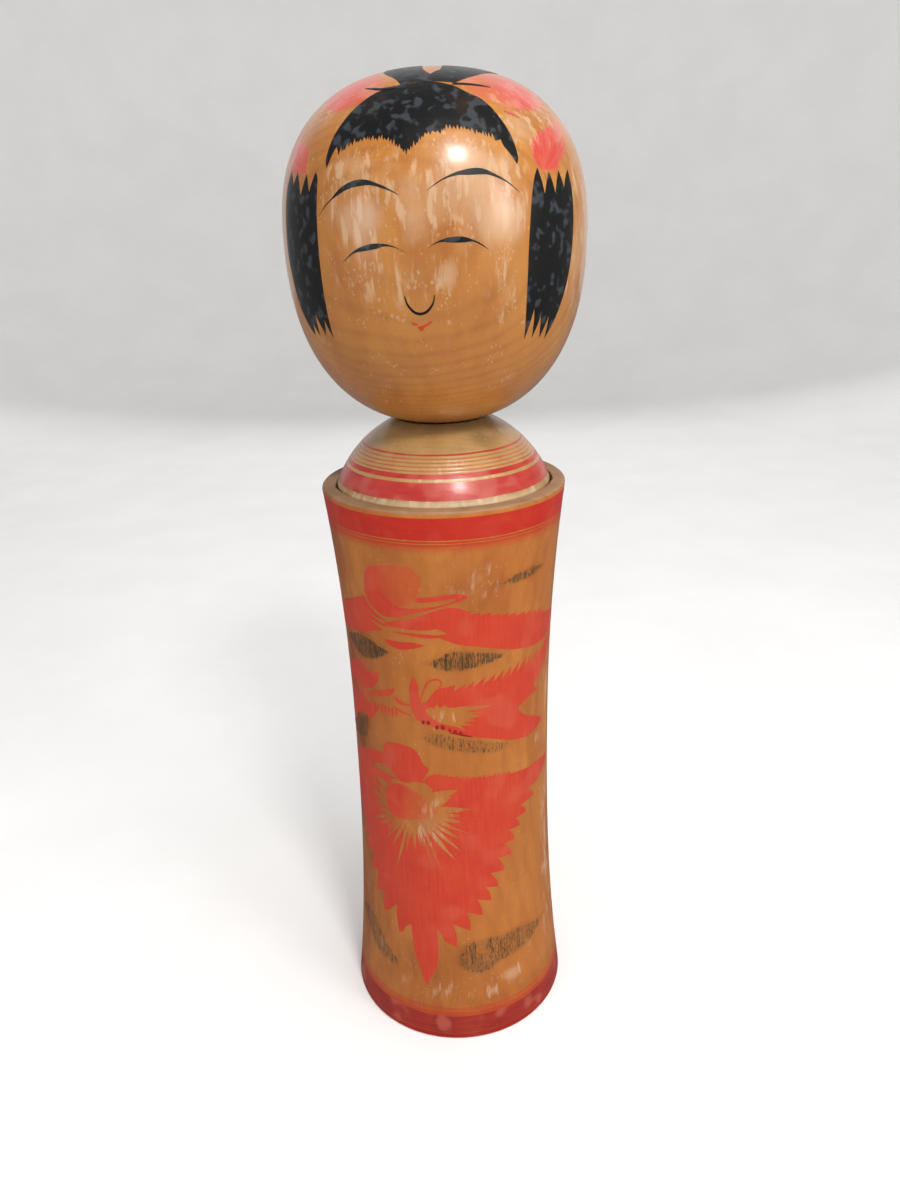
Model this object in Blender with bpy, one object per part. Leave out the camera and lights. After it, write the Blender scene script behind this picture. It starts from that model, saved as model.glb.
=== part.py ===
"""A kokeshi doll whose head turns on its neck.

The doll is three pieces of turned wood. The trunk is waisted, with a ledge round its top and a dished
underside. The shoulder is a dome on a straight spigot, seated in a recess bored into the trunk's top.
The head ends in a neck with a bulb, which the shoulder's socket holds captive so the head can turn.

Metres, +Z up. The origin is the centre of the foot, and the face looks along -Y.
"""

import math

import bmesh
import bpy

# Trunk
TRUNK_HEIGHT = 0.287
FOOT_RADIUS = 0.057
WAIST_RADIUS = 0.049
WAIST_HEIGHT = 0.165
RIM_RADIUS = 0.0555
FOOT_FLARE_POWER = 2.4
RIM_FLARE_POWER = 2.2
RIM_ROUNDING = 0.0016
FOOT_ROUNDING = 0.0010
FOOT_RING_WIDTH = 0.0120
DISH_DEPTH = 0.0025
DISH_BANK_WIDTH = 0.0030
LATHE_CENTRE_RADIUS = 0.0030
LATHE_CENTRE_DEPTH = 0.0040

# Shoulder
LEDGE_WIDTH = 0.0067
DOME_HEIGHT = 0.0327
SPIGOT_LENGTH = 0.0140
SPIGOT_CHAMFER = 0.0010
SEAT_MARGIN = 0.0048
SEAT_DEPTH = 0.0008

# Head
HEAD_RADIUS = 0.0625
HEAD_CROWN = 0.0606
HEAD_JAW = 0.0757
CROWN_POWER = 2.41
JAW_POWER = 2.33

# Neck and its socket
NECK_RADIUS = 0.0105
NECK_LAND_WIDTH = 0.0052
NECK_LENGTH = 0.0045
BULB_SWELL = 0.0020
BULB_LENGTH = 0.0090
SOCKET_MOUTH_CHAMFER = 0.0010

# Clearances between pieces
SPIGOT_CLEARANCE = 0.0003
SEAT_CLEARANCE = 0.0003
NECK_CLEARANCE = 0.0003
BULB_CLEARANCE = 0.0005

# Fineness of the turned surfaces
TURNING_STEPS = 64
FLARE_STEPS = 9
DOME_STEPS = 9
CROWN_STEPS = 11
JAW_STEPS = 12
BULB_STEPS = 6
EDGE_STEPS = 3
WELD_DISTANCE = 1e-6
SHARP_ANGLE = math.radians(35)

# Sizes that follow from the ones above
shoulder_radius = RIM_RADIUS - LEDGE_WIDTH - SPIGOT_CLEARANCE
dome_sphere_radius = (shoulder_radius ** 2 + DOME_HEIGHT ** 2) / (2 * DOME_HEIGHT)
land_radius = NECK_RADIUS + NECK_LAND_WIDTH
seat_radius = land_radius + SEAT_MARGIN
neck_socket_radius = NECK_RADIUS + NECK_CLEARANCE


def dome_height_at(radius):
    """Height of the dome's surface above the ledge."""
    return DOME_HEIGHT - dome_sphere_radius + math.sqrt(dome_sphere_radius ** 2 - radius ** 2)


seat_height = dome_height_at(seat_radius) - SEAT_DEPTH


def trunk_radius_at(height):
    """Outer radius of the trunk, smallest at the waist and flared towards both ends."""
    if height >= WAIST_HEIGHT:
        reach = (height - WAIST_HEIGHT) / (TRUNK_HEIGHT - WAIST_HEIGHT)
        return WAIST_RADIUS + (RIM_RADIUS - WAIST_RADIUS) * reach ** RIM_FLARE_POWER
    reach = (WAIST_HEIGHT - height) / WAIST_HEIGHT
    return WAIST_RADIUS + (FOOT_RADIUS - WAIST_RADIUS) * reach ** FOOT_FLARE_POWER


def between(start, end, steps):
    """Evenly spaced values from start to end, with both ends."""
    return [start + (end - start) * step / steps for step in range(steps + 1)]


def arc(centre, radius, start_degrees, end_degrees, steps):
    """Points (radius, height) on a circular arc in the profile plane."""
    angles = [math.radians(angle) for angle in between(start_degrees, end_degrees, steps)]
    return [(centre[0] + radius * math.cos(angle), centre[1] + radius * math.sin(angle)) for angle in angles]


def superellipse_point(width, height, power, angle):
    """Point at an angle from the widest line of a rounded, slightly squared outline."""
    return width * math.cos(angle) ** (2 / power), height * math.sin(angle) ** (2 / power)


def trunk_profile():
    """Half outline of the trunk, from the recess floor over the ledge and down to the foot."""
    recess_radius = shoulder_radius + SPIGOT_CLEARANCE
    recess_floor = TRUNK_HEIGHT - SPIGOT_LENGTH - SEAT_CLEARANCE
    dish_radius = FOOT_RADIUS - FOOT_ROUNDING - FOOT_RING_WIDTH
    profile = [(0, recess_floor), (recess_radius, recess_floor), (recess_radius, TRUNK_HEIGHT)]
    profile += arc((RIM_RADIUS - RIM_ROUNDING, TRUNK_HEIGHT - RIM_ROUNDING), RIM_ROUNDING, 90, 0, EDGE_STEPS)
    for height in between(TRUNK_HEIGHT - RIM_ROUNDING, WAIST_HEIGHT, FLARE_STEPS)[1:]:
        profile.append((trunk_radius_at(height), height))
    for height in between(WAIST_HEIGHT, FOOT_ROUNDING, FLARE_STEPS)[1:-1]:
        profile.append((trunk_radius_at(height), height))
    profile += arc((FOOT_RADIUS - FOOT_ROUNDING, FOOT_ROUNDING), FOOT_ROUNDING, 0, -90, EDGE_STEPS)
    profile.append((dish_radius, 0))
    profile.append((dish_radius - DISH_BANK_WIDTH, DISH_DEPTH))
    profile.append((LATHE_CENTRE_RADIUS, DISH_DEPTH))
    profile.append((0, DISH_DEPTH + LATHE_CENTRE_DEPTH))
    return profile


def bulb_profile(neck_radius, bulb_radius, neck_length, bulb_length):
    """Outline of a neck and its bulb, going down from height 0 to the bulb's end on the axis."""
    profile = [(neck_radius, -neck_length)]
    half_length = bulb_length / 2
    for angle in between(90, -90, BULB_STEPS)[1:-1]:
        swell = math.cos(math.radians(angle))
        height = -neck_length - half_length + half_length * math.sin(math.radians(angle))
        profile.append((neck_radius + (bulb_radius - neck_radius) * swell, height))
    profile.append((neck_radius, -neck_length - bulb_length))
    profile.append((0, -neck_length - bulb_length))
    return profile


def shoulder_profile():
    """Half outline of the shoulder, from the socket's floor over the dome and down the spigot."""
    socket = bulb_profile(
        neck_socket_radius,
        neck_socket_radius + BULB_SWELL,
        NECK_LENGTH - SEAT_CLEARANCE - BULB_CLEARANCE,
        BULB_LENGTH + 2 * BULB_CLEARANCE,
    )
    profile = [(radius, seat_height + height) for radius, height in reversed(socket)]
    profile.append((neck_socket_radius, seat_height - SOCKET_MOUTH_CHAMFER))
    profile.append((neck_socket_radius + SOCKET_MOUTH_CHAMFER, seat_height))
    profile.append((seat_radius - SEAT_DEPTH, seat_height))
    start_angle = math.asin(seat_radius / dome_sphere_radius)
    end_angle = math.asin(shoulder_radius / dome_sphere_radius)
    for angle in between(start_angle, end_angle, DOME_STEPS):
        radius = dome_sphere_radius * math.sin(angle)
        profile.append((radius, dome_height_at(radius)))
    profile.append((shoulder_radius, SPIGOT_CHAMFER - SPIGOT_LENGTH))
    profile.append((shoulder_radius - SPIGOT_CHAMFER, -SPIGOT_LENGTH))
    profile.append((0, -SPIGOT_LENGTH))
    return profile


def head_profile():
    """Half outline of the head, from the crown to the land, then down the neck and its bulb.

    Height 0 is the flat land that faces the shoulder's seat.
    """
    land_drop = HEAD_JAW * (1 - (land_radius / HEAD_RADIUS) ** JAW_POWER) ** (1 / JAW_POWER)
    profile = []
    for angle in between(math.pi / 2, 0, CROWN_STEPS):
        radius, height = superellipse_point(HEAD_RADIUS, HEAD_CROWN, CROWN_POWER, angle)
        profile.append((radius, land_drop + height))
    profile[0] = (0, land_drop + HEAD_CROWN)
    land_angle = math.acos((land_radius / HEAD_RADIUS) ** (JAW_POWER / 2))
    for angle in between(0, land_angle, JAW_STEPS)[1:]:
        radius, height = superellipse_point(HEAD_RADIUS, HEAD_JAW, JAW_POWER, angle)
        profile.append((radius, land_drop - height))
    profile.append((NECK_RADIUS, 0))
    profile += bulb_profile(NECK_RADIUS, NECK_RADIUS + BULB_SWELL, NECK_LENGTH, BULB_LENGTH)
    return profile


def wood(name, colour, roughness):
    """A plain wood material with one colour."""
    material = bpy.data.materials.new(name)
    material.use_nodes = True
    shader = material.node_tree.nodes["Principled BSDF"]
    shader.inputs["Base Color"].default_value = (*colour, 1)
    shader.inputs["Roughness"].default_value = roughness
    shader.inputs["Metallic"].default_value = 0
    return material


def turned(name, profile, material):
    """A solid made by turning a half outline about the Z axis."""
    work = bmesh.new()
    verts = [work.verts.new((radius, 0, height)) for radius, height in profile]
    edges = [work.edges.new(pair) for pair in zip(verts, verts[1:])]
    bmesh.ops.spin(
        work,
        geom=verts + edges,
        cent=(0, 0, 0),
        axis=(0, 0, 1),
        angle=math.tau,
        steps=TURNING_STEPS,
    )
    bmesh.ops.remove_doubles(work, verts=work.verts, dist=WELD_DISTANCE)
    bmesh.ops.recalc_face_normals(work, faces=work.faces)
    mesh = bpy.data.meshes.new(name)
    work.to_mesh(mesh)
    work.free()
    mesh.materials.append(material)
    mesh.shade_smooth()
    mesh.set_sharp_from_angle(angle=SHARP_ANGLE)
    piece = bpy.data.objects.new(name, mesh)
    bpy.context.collection.objects.link(piece)
    return piece


def build():
    for item in list(bpy.data.objects):
        bpy.data.objects.remove(item, do_unlink=True)

    trunk = turned("trunk", trunk_profile(), wood("trunk_wood", (0.51, 0.21, 0.06), 0.35))

    shoulder = turned("shoulder", shoulder_profile(), wood("shoulder_wood", (0.55, 0.33, 0.13), 0.35))
    shoulder.parent = trunk
    shoulder.location = (0, 0, TRUNK_HEIGHT)

    head = turned("head", head_profile(), wood("head_wood", (0.56, 0.25, 0.08), 0.25))
    head.parent = shoulder
    head.location = (0, 0, seat_height + SEAT_CLEARANCE)


build()
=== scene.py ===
"""A turned and painted kokeshi doll: wood, lathe bands, brush-painted flowers and face.

Surfaces are addressed by azimuth in degrees (0 faces -Y, positive towards +X) and a distance in
millimetres: height on the trunk, plan radius on the shoulder's dome, length along the surface from
the crown on the head. Everything else is in metres.
"""

import math
import random

import bpy
import numpy as np
from mathutils import Matrix, Vector, noise
from mathutils.geometry import delaunay_2d_cdt


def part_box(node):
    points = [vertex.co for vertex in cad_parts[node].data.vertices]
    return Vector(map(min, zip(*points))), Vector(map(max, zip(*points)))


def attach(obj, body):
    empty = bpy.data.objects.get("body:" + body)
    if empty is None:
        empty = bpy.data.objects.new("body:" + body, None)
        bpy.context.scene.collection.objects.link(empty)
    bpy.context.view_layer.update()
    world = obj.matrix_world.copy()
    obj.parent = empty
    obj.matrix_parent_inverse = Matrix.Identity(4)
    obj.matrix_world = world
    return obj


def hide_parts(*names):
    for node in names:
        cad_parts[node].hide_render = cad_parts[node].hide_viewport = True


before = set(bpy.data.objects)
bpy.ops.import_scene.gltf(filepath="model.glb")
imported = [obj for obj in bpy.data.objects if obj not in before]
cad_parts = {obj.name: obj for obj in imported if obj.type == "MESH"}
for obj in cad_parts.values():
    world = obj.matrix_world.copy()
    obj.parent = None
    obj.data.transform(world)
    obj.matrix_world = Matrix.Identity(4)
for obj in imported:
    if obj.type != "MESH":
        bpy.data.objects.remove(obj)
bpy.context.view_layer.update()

MM = 0.001
trunk_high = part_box("trunk")[1]
shoulder_low, shoulder_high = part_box("shoulder")
head_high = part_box("head")[1]

# Trunk, as turned
TRUNK_HEIGHT = trunk_high[2]
FOOT_RADIUS = trunk_high[0]
RIM_RADIUS = 0.0555
WAIST_RADIUS = 0.0490
WAIST_HEIGHT = 0.1650
RIM_POWER = 2.2
FOOT_POWER = 2.4
RIM_ROUNDING = 0.0016
FOOT_ROUNDING = 0.0010
FOOT_RING_WIDTH = 0.0120
DISH_DEPTH = 0.0025
DISH_BANK = 0.003
LATHE_CENTRE = 0.003
LATHE_CENTRE_DEPTH = 0.004
TOOL_STEP = 0.0029
SPIGOT_LENGTH = TRUNK_HEIGHT - shoulder_low[2]

# Shoulder
SHOULDER_RADIUS = shoulder_high[0]
DOME_HEIGHT = 0.0327
DOME_SPHERE = (SHOULDER_RADIUS ** 2 + DOME_HEIGHT ** 2) / (2 * DOME_HEIGHT)
SEAT_RADIUS = 0.0205
SEAT_DEPTH = 0.0008
EDGE_BREAK = 0.001
CLEARANCE = 0.0003
BULB_CLEARANCE = 0.0005

# Head
HEAD_RADIUS = head_high[0]
HEAD_TOP = head_high[2]
CROWN = 0.0606
JAW = 0.0757
CROWN_POWER = 2.41
JAW_POWER = 2.33
LAND_RADIUS = 0.0157
NECK_RADIUS = 0.0105
NECK_LENGTH = 0.0045
BULB_SWELL = 0.0020
BULB_LENGTH = 0.0090
WIDEST = HEAD_TOP - CROWN

# Fineness of the skins, and of the paint's shells in millimetres
SKIN_STEPS = 320
OUTLINE_STEP = 1.0
FILL_STEP = 2.1
FINE_FILL = 1.2

# A coat of paint stands this far out of the wood, and its back lies this far in
PAINT_PROUD = 0.00004
PAINT_EMBED = 0.00012
PINCH_GAP = 0.03


# ---------------------------------------------------------------- surfaces

def rounded_edge(radius, rounding, past):
    """Radius on an edge's rounding, a distance past where the rounding starts."""
    return radius - rounding + math.sqrt(max(rounding ** 2 - past ** 2, 0.0))


def trunk_radius(z):
    rim_start = TRUNK_HEIGHT - RIM_ROUNDING
    if z > rim_start:
        return rounded_edge(RIM_RADIUS, RIM_ROUNDING, z - rim_start)
    if z < FOOT_ROUNDING:
        return rounded_edge(FOOT_RADIUS, FOOT_ROUNDING, FOOT_ROUNDING - z)
    if z >= WAIST_HEIGHT:
        reach = (z - WAIST_HEIGHT) / (rim_start - WAIST_HEIGHT)
        return WAIST_RADIUS + (RIM_RADIUS - WAIST_RADIUS) * reach ** RIM_POWER
    reach = (WAIST_HEIGHT - z) / (WAIST_HEIGHT - FOOT_ROUNDING)
    return WAIST_RADIUS + (FOOT_RADIUS - WAIST_RADIUS) * reach ** FOOT_POWER


def dome_z(radius):
    return TRUNK_HEIGHT + DOME_HEIGHT - DOME_SPHERE + math.sqrt(DOME_SPHERE ** 2 - radius ** 2)


def head_outline(steps=240):
    """Points (radius, z) of the head's outside from the crown to the land."""
    points = [(0.0, HEAD_TOP)]
    for step in range(1, steps + 1):
        angle = math.pi / 2 * (1 - step / steps)
        points.append((
            HEAD_RADIUS * math.cos(angle) ** (2 / CROWN_POWER),
            WIDEST + CROWN * math.sin(angle) ** (2 / CROWN_POWER),
        ))
    land_angle = math.acos((LAND_RADIUS / HEAD_RADIUS) ** (JAW_POWER / 2))
    for step in range(1, steps + 1):
        angle = land_angle * step / steps
        points.append((
            HEAD_RADIUS * math.cos(angle) ** (2 / JAW_POWER),
            WIDEST - JAW * math.sin(angle) ** (2 / JAW_POWER),
        ))
    return points


NORMAL_REACH = 0.2
outline_table = np.array(head_outline())
steps_between = np.hypot(*np.diff(outline_table, axis=0).T)
length_table = np.concatenate([[0], np.cumsum(steps_between)]) / MM
HEAD_LENGTH = float(length_table[-1])


def trunk_section(v):
    return trunk_radius(v * MM), v * MM


def dome_section(v):
    return v * MM, dome_z(v * MM)


def head_section(v):
    return (
        float(np.interp(v, length_table, outline_table[:, 0])),
        float(np.interp(v, length_table, outline_table[:, 1])),
    )


def point_and_normal(section, azimuth, v, outward):
    """Point on a turned surface and the unit normal there."""
    radius, z = section(v)
    ahead, behind = section(v + NORMAL_REACH), section(max(v - NORMAL_REACH, 0.0))
    run = Vector((ahead[0] - behind[0], ahead[1] - behind[1])).normalized()
    angle = math.radians(azimuth)
    around = Vector((math.sin(angle), -math.cos(angle), 0))
    normal = outward * (around * -run.y + Vector((0, 0, run.x)))
    return around * radius + Vector((0, 0, z)), normal


class Surface:
    """A turned surface, the body that it moves with, and how its drawing is laid out flat.

    reference is the radius in millimetres at which azimuth is rolled out, and row is how far apart
    the rows of a painted band may lie.
    """

    def __init__(self, section, outward, body, reference, row=2.0):
        self.section = section
        self.outward = outward
        self.body = body
        self.reference = reference
        self.row = row

    def at(self, azimuth, v):
        return point_and_normal(self.section, azimuth, v, self.outward)

    def flat(self, azimuth, v):
        return math.radians(azimuth) * self.reference, v

    def unflat(self, x, y):
        return math.degrees(x / self.reference), y

    def laid_out(self, azimuth, v):
        """The place (azimuth, v) on the flat drawing."""
        return self.flat(azimuth, v)


class Crown(Surface):
    """The head seen from straight above: x and y are millimetres along the surface from the crown."""

    def flat(self, x, y):
        return x, y

    def laid_out(self, azimuth, v):
        return v * math.sin(math.radians(azimuth)), -v * math.cos(math.radians(azimuth))

    def unflat(self, x, y):
        return math.degrees(math.atan2(x, -y)), math.hypot(x, y)


TRUNK = Surface(trunk_section, -1, "torso", 50.0)
DOME = Surface(dome_section, 1, "torso", 42.0, row=0.3)
HEAD = Surface(head_section, 1, "head", 55.0)
CROWN_TOP = Crown(head_section, 1, "head", 55.0)


# ---------------------------------------------------------------- weathering with painted shade and sheen, shared by wood and paint

def bump(value, centre, width):
    return math.exp(-((value - centre) / width) ** 2)


def turned_by(azimuth, centre):
    """Angle from centre to azimuth, between -180 and 180."""
    return (azimuth - centre + 180) % 360 - 180


def patches(spots, azimuth, v):
    """Strength of the strongest patch of a list at a place."""
    best = 0.0
    for centre, level, wide, tall, strength in spots:
        best = max(best, strength * bump(turned_by(azimuth, centre), 0, wide) * bump(v, level, tall))
    return best


# Soft patches, each (azimuth, v, half width, half height, strength)
# Pale water marks on the head. The patches at (75, 95) and (66, 110) on the right side and at (-26, 92) on
# the left cheek are partly painted reflection: window sheen laid on as pale marks.
HEAD_STAINS_AND_SHEEN = (
    (14, 78, 17, 9, 1.0), (-6, 92, 8, 14, 0.8), (-26, 92, 14, 9, 0.95), (22, 94, 12, 12, 1.0),
    (4, 112, 4, 8, 0.9), (25, 118, 7, 14, 0.6), (-37, 90, 5, 20, 0.6), (-20, 110, 20, 7, 0.5),
    (-38, 60, 5, 12, 0.4), (35, 62, 10, 10, 0.9), (75, 95, 22, 30, 0.8), (-28, 75, 12, 6, 0.8),
    (-13, 76, 8, 5, 0.6), (8, 176, 22, 8, 0.35), (62, 62, 30, 10, 0.5), (-75, 110, 20, 30, 0.3),
    (8, 98, 14, 10, 0.6), (160, 90, 40, 40, 0.4), (-140, 120, 30, 30, 0.35), (6, 86, 30, 16, 0.85),
    (-24, 80, 16, 6, 0.7), (-12, 112, 34, 14, 0.45), (66, 110, 16, 26, 0.7), (45, 54, 25, 12, 0.6),
    (24, 76, 5, 5, 0.95), (-60, 48, 30, 14, 0.45),
)
# Darker patches on the head, mostly old dirt. The ring all round at (0, 190) and the band at (10, 182), on
# the underside next to the neck, are painted shade where the head meets the dome.
HEAD_GRIME_AND_SHADE = (
    (-5, 104, 11, 22, 0.45), (10, 120, 20, 10, 0.25), (-55, 160, 40, 22, 0.45), (0, 190, 180, 8, 0.55),
    (-110, 110, 60, 60, 0.3), (10, 182, 60, 8, 0.25), (-30, 112, 14, 8, 0.35), (-24, 92, 12, 10, 0.25),
    (90, 170, 60, 20, 0.3),
)
TRUNK_STAINS = (
    (68, 100, 7, 60, 0.75), (70, 79, 7, 7, 0.9), (31, 33, 9, 5, 1.0), (18, 27, 5, 4, 0.9),
    (62, 44, 6, 8, 0.6), (68, 75, 5, 10, 0.6), (15, 255, 16, 9, 0.45), (70, 185, 6, 30, 0.6),
    (-45, 45, 20, 16, 0.35), (12, 250, 20, 4, 0.4), (-14, 127, 20, 19, 0.62), (-3, 188, 12, 5, 0.5),
    (57, 163, 4, 4, 0.8), (0, 30, 70, 10, 0.35), (150, 150, 50, 80, 0.3), (-10, 276, 180, 4, 0.25),
)
# Darker patches on the trunk, mostly old dirt. The long patch down the left side at (-66, 150) is partly
# aged wood and partly painted shade on the side away from the light.
TRUNK_GRIME_AND_SHADE = (
    (-66, 150, 24, 160, 0.95), (8, 250, 16, 12, 0.4), (-20, 36, 34, 26, 0.55), (10, 120, 30, 60, 0.15),
    (-45, 268, 40, 7, 0.35), (-30, 30, 45, 14, 0.5), (20, 22, 70, 6, 0.35), (-120, 150, 50, 140, 0.45),
    (24, 70, 12, 40, 0.15), (150, 60, 40, 60, 0.3),
)
DOME_STAINS = (
    (-10, 34, 40, 6, 0.2), (5, 40, 20, 4, 0.4), (60, 30, 30, 6, 0.3), (10, 48.4, 75, 1.1, 1.0),
    (5, 43.3, 40, 0.5, 0.8),
)
# Darker patches on the dome. The ring all round at (0, 21), beside the head's seat, is partly dirt and
# partly painted shade under the head.
DOME_GRIME_AND_SHADE = (
    (0, 21, 180, 5, 0.8), (35, 30, 16, 5, 0.7), (70, 27, 25, 6, 0.75), (-70, 30, 30, 8, 0.5),
    (0, 48.2, 180, 1.0, 0.35), (15, 34.5, 14, 2, 0.4),
)
WEATHER_AND_PAINTED_LIGHT = {
    TRUNK: (TRUNK_STAINS, TRUNK_GRIME_AND_SHADE),
    DOME: (DOME_STAINS, DOME_GRIME_AND_SHADE),
    HEAD: (HEAD_STAINS_AND_SHEEN, HEAD_GRIME_AND_SHADE),
    CROWN_TOP: (HEAD_STAINS_AND_SHEEN, HEAD_GRIME_AND_SHADE),
}


def add_attribute(mesh, name, values):
    layer = mesh.attributes.new(name, "FLOAT", "POINT")
    layer.data.foreach_set("value", np.array(values, dtype=np.float32))


def add_brush(mesh, strokes):
    """Coordinates across and along the brush strokes, on every vertex."""
    layer = mesh.attributes.new("brush", "FLOAT_VECTOR", "POINT")
    layer.data.foreach_set("vector", np.array(strokes, dtype=np.float32).ravel())


def add_weather_and_painted_light(mesh, surface, places):
    """Stain and grime on every vertex, from its (azimuth, v) on the surface, with the painted sheen and
    shade that some patches carry.
    """
    stains_and_sheen, grime_and_shade = WEATHER_AND_PAINTED_LIGHT[surface]
    add_attribute(mesh, "stain_and_sheen", [patches(stains_and_sheen, *place) for place in places])
    add_attribute(mesh, "grime_and_shade", [patches(grime_and_shade, *place) for place in places])


# ---------------------------------------------------------------- node helpers

class Nodes:
    """Short calls for building a node tree."""

    def __init__(self, tree):
        self.tree = tree

    def add(self, kind, inputs=None, **settings):
        node = self.tree.nodes.new(kind)
        for key, value in settings.items():
            setattr(node, key, value)
        for key, value in (inputs or {}).items():
            if isinstance(value, bpy.types.NodeSocket):
                self.tree.links.new(value, node.inputs[key])
            else:
                node.inputs[key].default_value = value
        return node

    def math(self, operation, first, second=0.0, third=0.0, clamp=False):
        inputs = {0: first, 1: second, 2: third}
        node = self.add("ShaderNodeMath", inputs, operation=operation, use_clamp=clamp)
        return node.outputs[0]

    def times(self, first, second, clamp=False):
        return self.math("MULTIPLY", first, second, clamp=clamp)

    def plus(self, first, second, clamp=False):
        return self.math("ADD", first, second, clamp=clamp)

    def minus(self, first, second):
        return self.math("SUBTRACT", first, second)

    def mix(self, amount, first, second):
        """Colour between two; the mix node keeps its colour sockets at 6, 7 and 2."""
        inputs = {0: amount, 6: first, 7: second}
        return self.add("ShaderNodeMix", inputs, data_type="RGBA").outputs[2]

    def ramp(self, value, low, high):
        """0 below low, 1 above high, smooth between; falling if low is above high."""
        inputs = {
            0: value, 1: min(low, high), 2: max(low, high), 3: float(low > high), 4: float(low <= high),
        }
        return self.add("ShaderNodeMapRange", inputs, interpolation_type="SMOOTHSTEP").outputs[0]

    def stretched(self, vector, scale):
        return self.add("ShaderNodeMapping", {"Vector": vector, "Scale": scale}).outputs[0]

    def noise(self, vector, scale, detail=3.0, roughness=0.55, distortion=0.0):
        inputs = {
            "Vector": vector, "Scale": scale, "Detail": detail,
            "Roughness": roughness, "Distortion": distortion,
        }
        return self.add("ShaderNodeTexNoise", inputs).outputs[0]

    def cells(self, vector, scale):
        return self.add("ShaderNodeTexVoronoi", {"Vector": vector, "Scale": scale}).outputs["Distance"]

    def attribute(self, name):
        return self.add("ShaderNodeAttribute", attribute_name=name).outputs["Fac"]


def colour(red, green, blue):
    return (red, green, blue, 1.0)


RING_SPACING = 0.0021
PITH = (0.004, 0.019, 0)
# The fifth colour darkens old dirt and painted shade alike, and the sixth whitens water marks and painted
# sheen alike.
TONE_COLOURS = ("light", "dark", "deep", "warm", "dirt_and_shade", "milk_and_sheen")


def wood_tone(rings, stain_and_sheen, spots, *colours):
    """Colours of a wood in the order of TONE_COLOURS, and how much rings, water marks with their painted
    sheen, and spots show.
    """
    tone = {name: colour(*value) for name, value in zip(TONE_COLOURS, colours)}
    return dict(tone, rings=rings, stain_and_sheen=stain_and_sheen, spots=spots)


WOOD_TONES = {
    "honey": wood_tone(
        0.45, 0.90, 0.40,
        (0.455, 0.164, 0.027), (0.335, 0.099, 0.015), (0.160, 0.038, 0.009), (0.33, 0.080, 0.011),
        (0.165, 0.022, 0.004), (0.57, 0.400, 0.265),
    ),
    "head": wood_tone(
        0.70, 1.0, 0.75,
        (0.450, 0.190, 0.034), (0.345, 0.120, 0.020), (0.165, 0.046, 0.011), (0.37, 0.108, 0.017),
        (0.20, 0.045, 0.010), (0.57, 0.400, 0.250),
    ),
    "dome": wood_tone(
        0.35, 0.9, 0.35,
        (0.50, 0.290, 0.110), (0.37, 0.200, 0.066), (0.12, 0.078, 0.038), (0.42, 0.200, 0.070),
        (0.11, 0.080, 0.042), (0.66, 0.53, 0.37),
    ),
    "ledge": wood_tone(
        0.5, 0.6, 0.35,
        (0.36, 0.215, 0.115), (0.24, 0.125, 0.056), (0.06, 0.034, 0.017), (0.30, 0.150, 0.070),
        (0.05, 0.030, 0.016), (0.48, 0.34, 0.24),
    ),
    "raw": wood_tone(
        0.8, 0.5, 0.35,
        (0.43, 0.27, 0.13), (0.31, 0.175, 0.076), (0.095, 0.056, 0.030), (0.36, 0.200, 0.086),
        (0.09, 0.055, 0.030), (0.50, 0.38, 0.26),
    ),
}
# Scale, largest size and strength of each kind of water spot
SPOTS = ((260, 0.28, 0.36), (440, 0.36, 0.50), (760, 0.38, 0.50))


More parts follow.
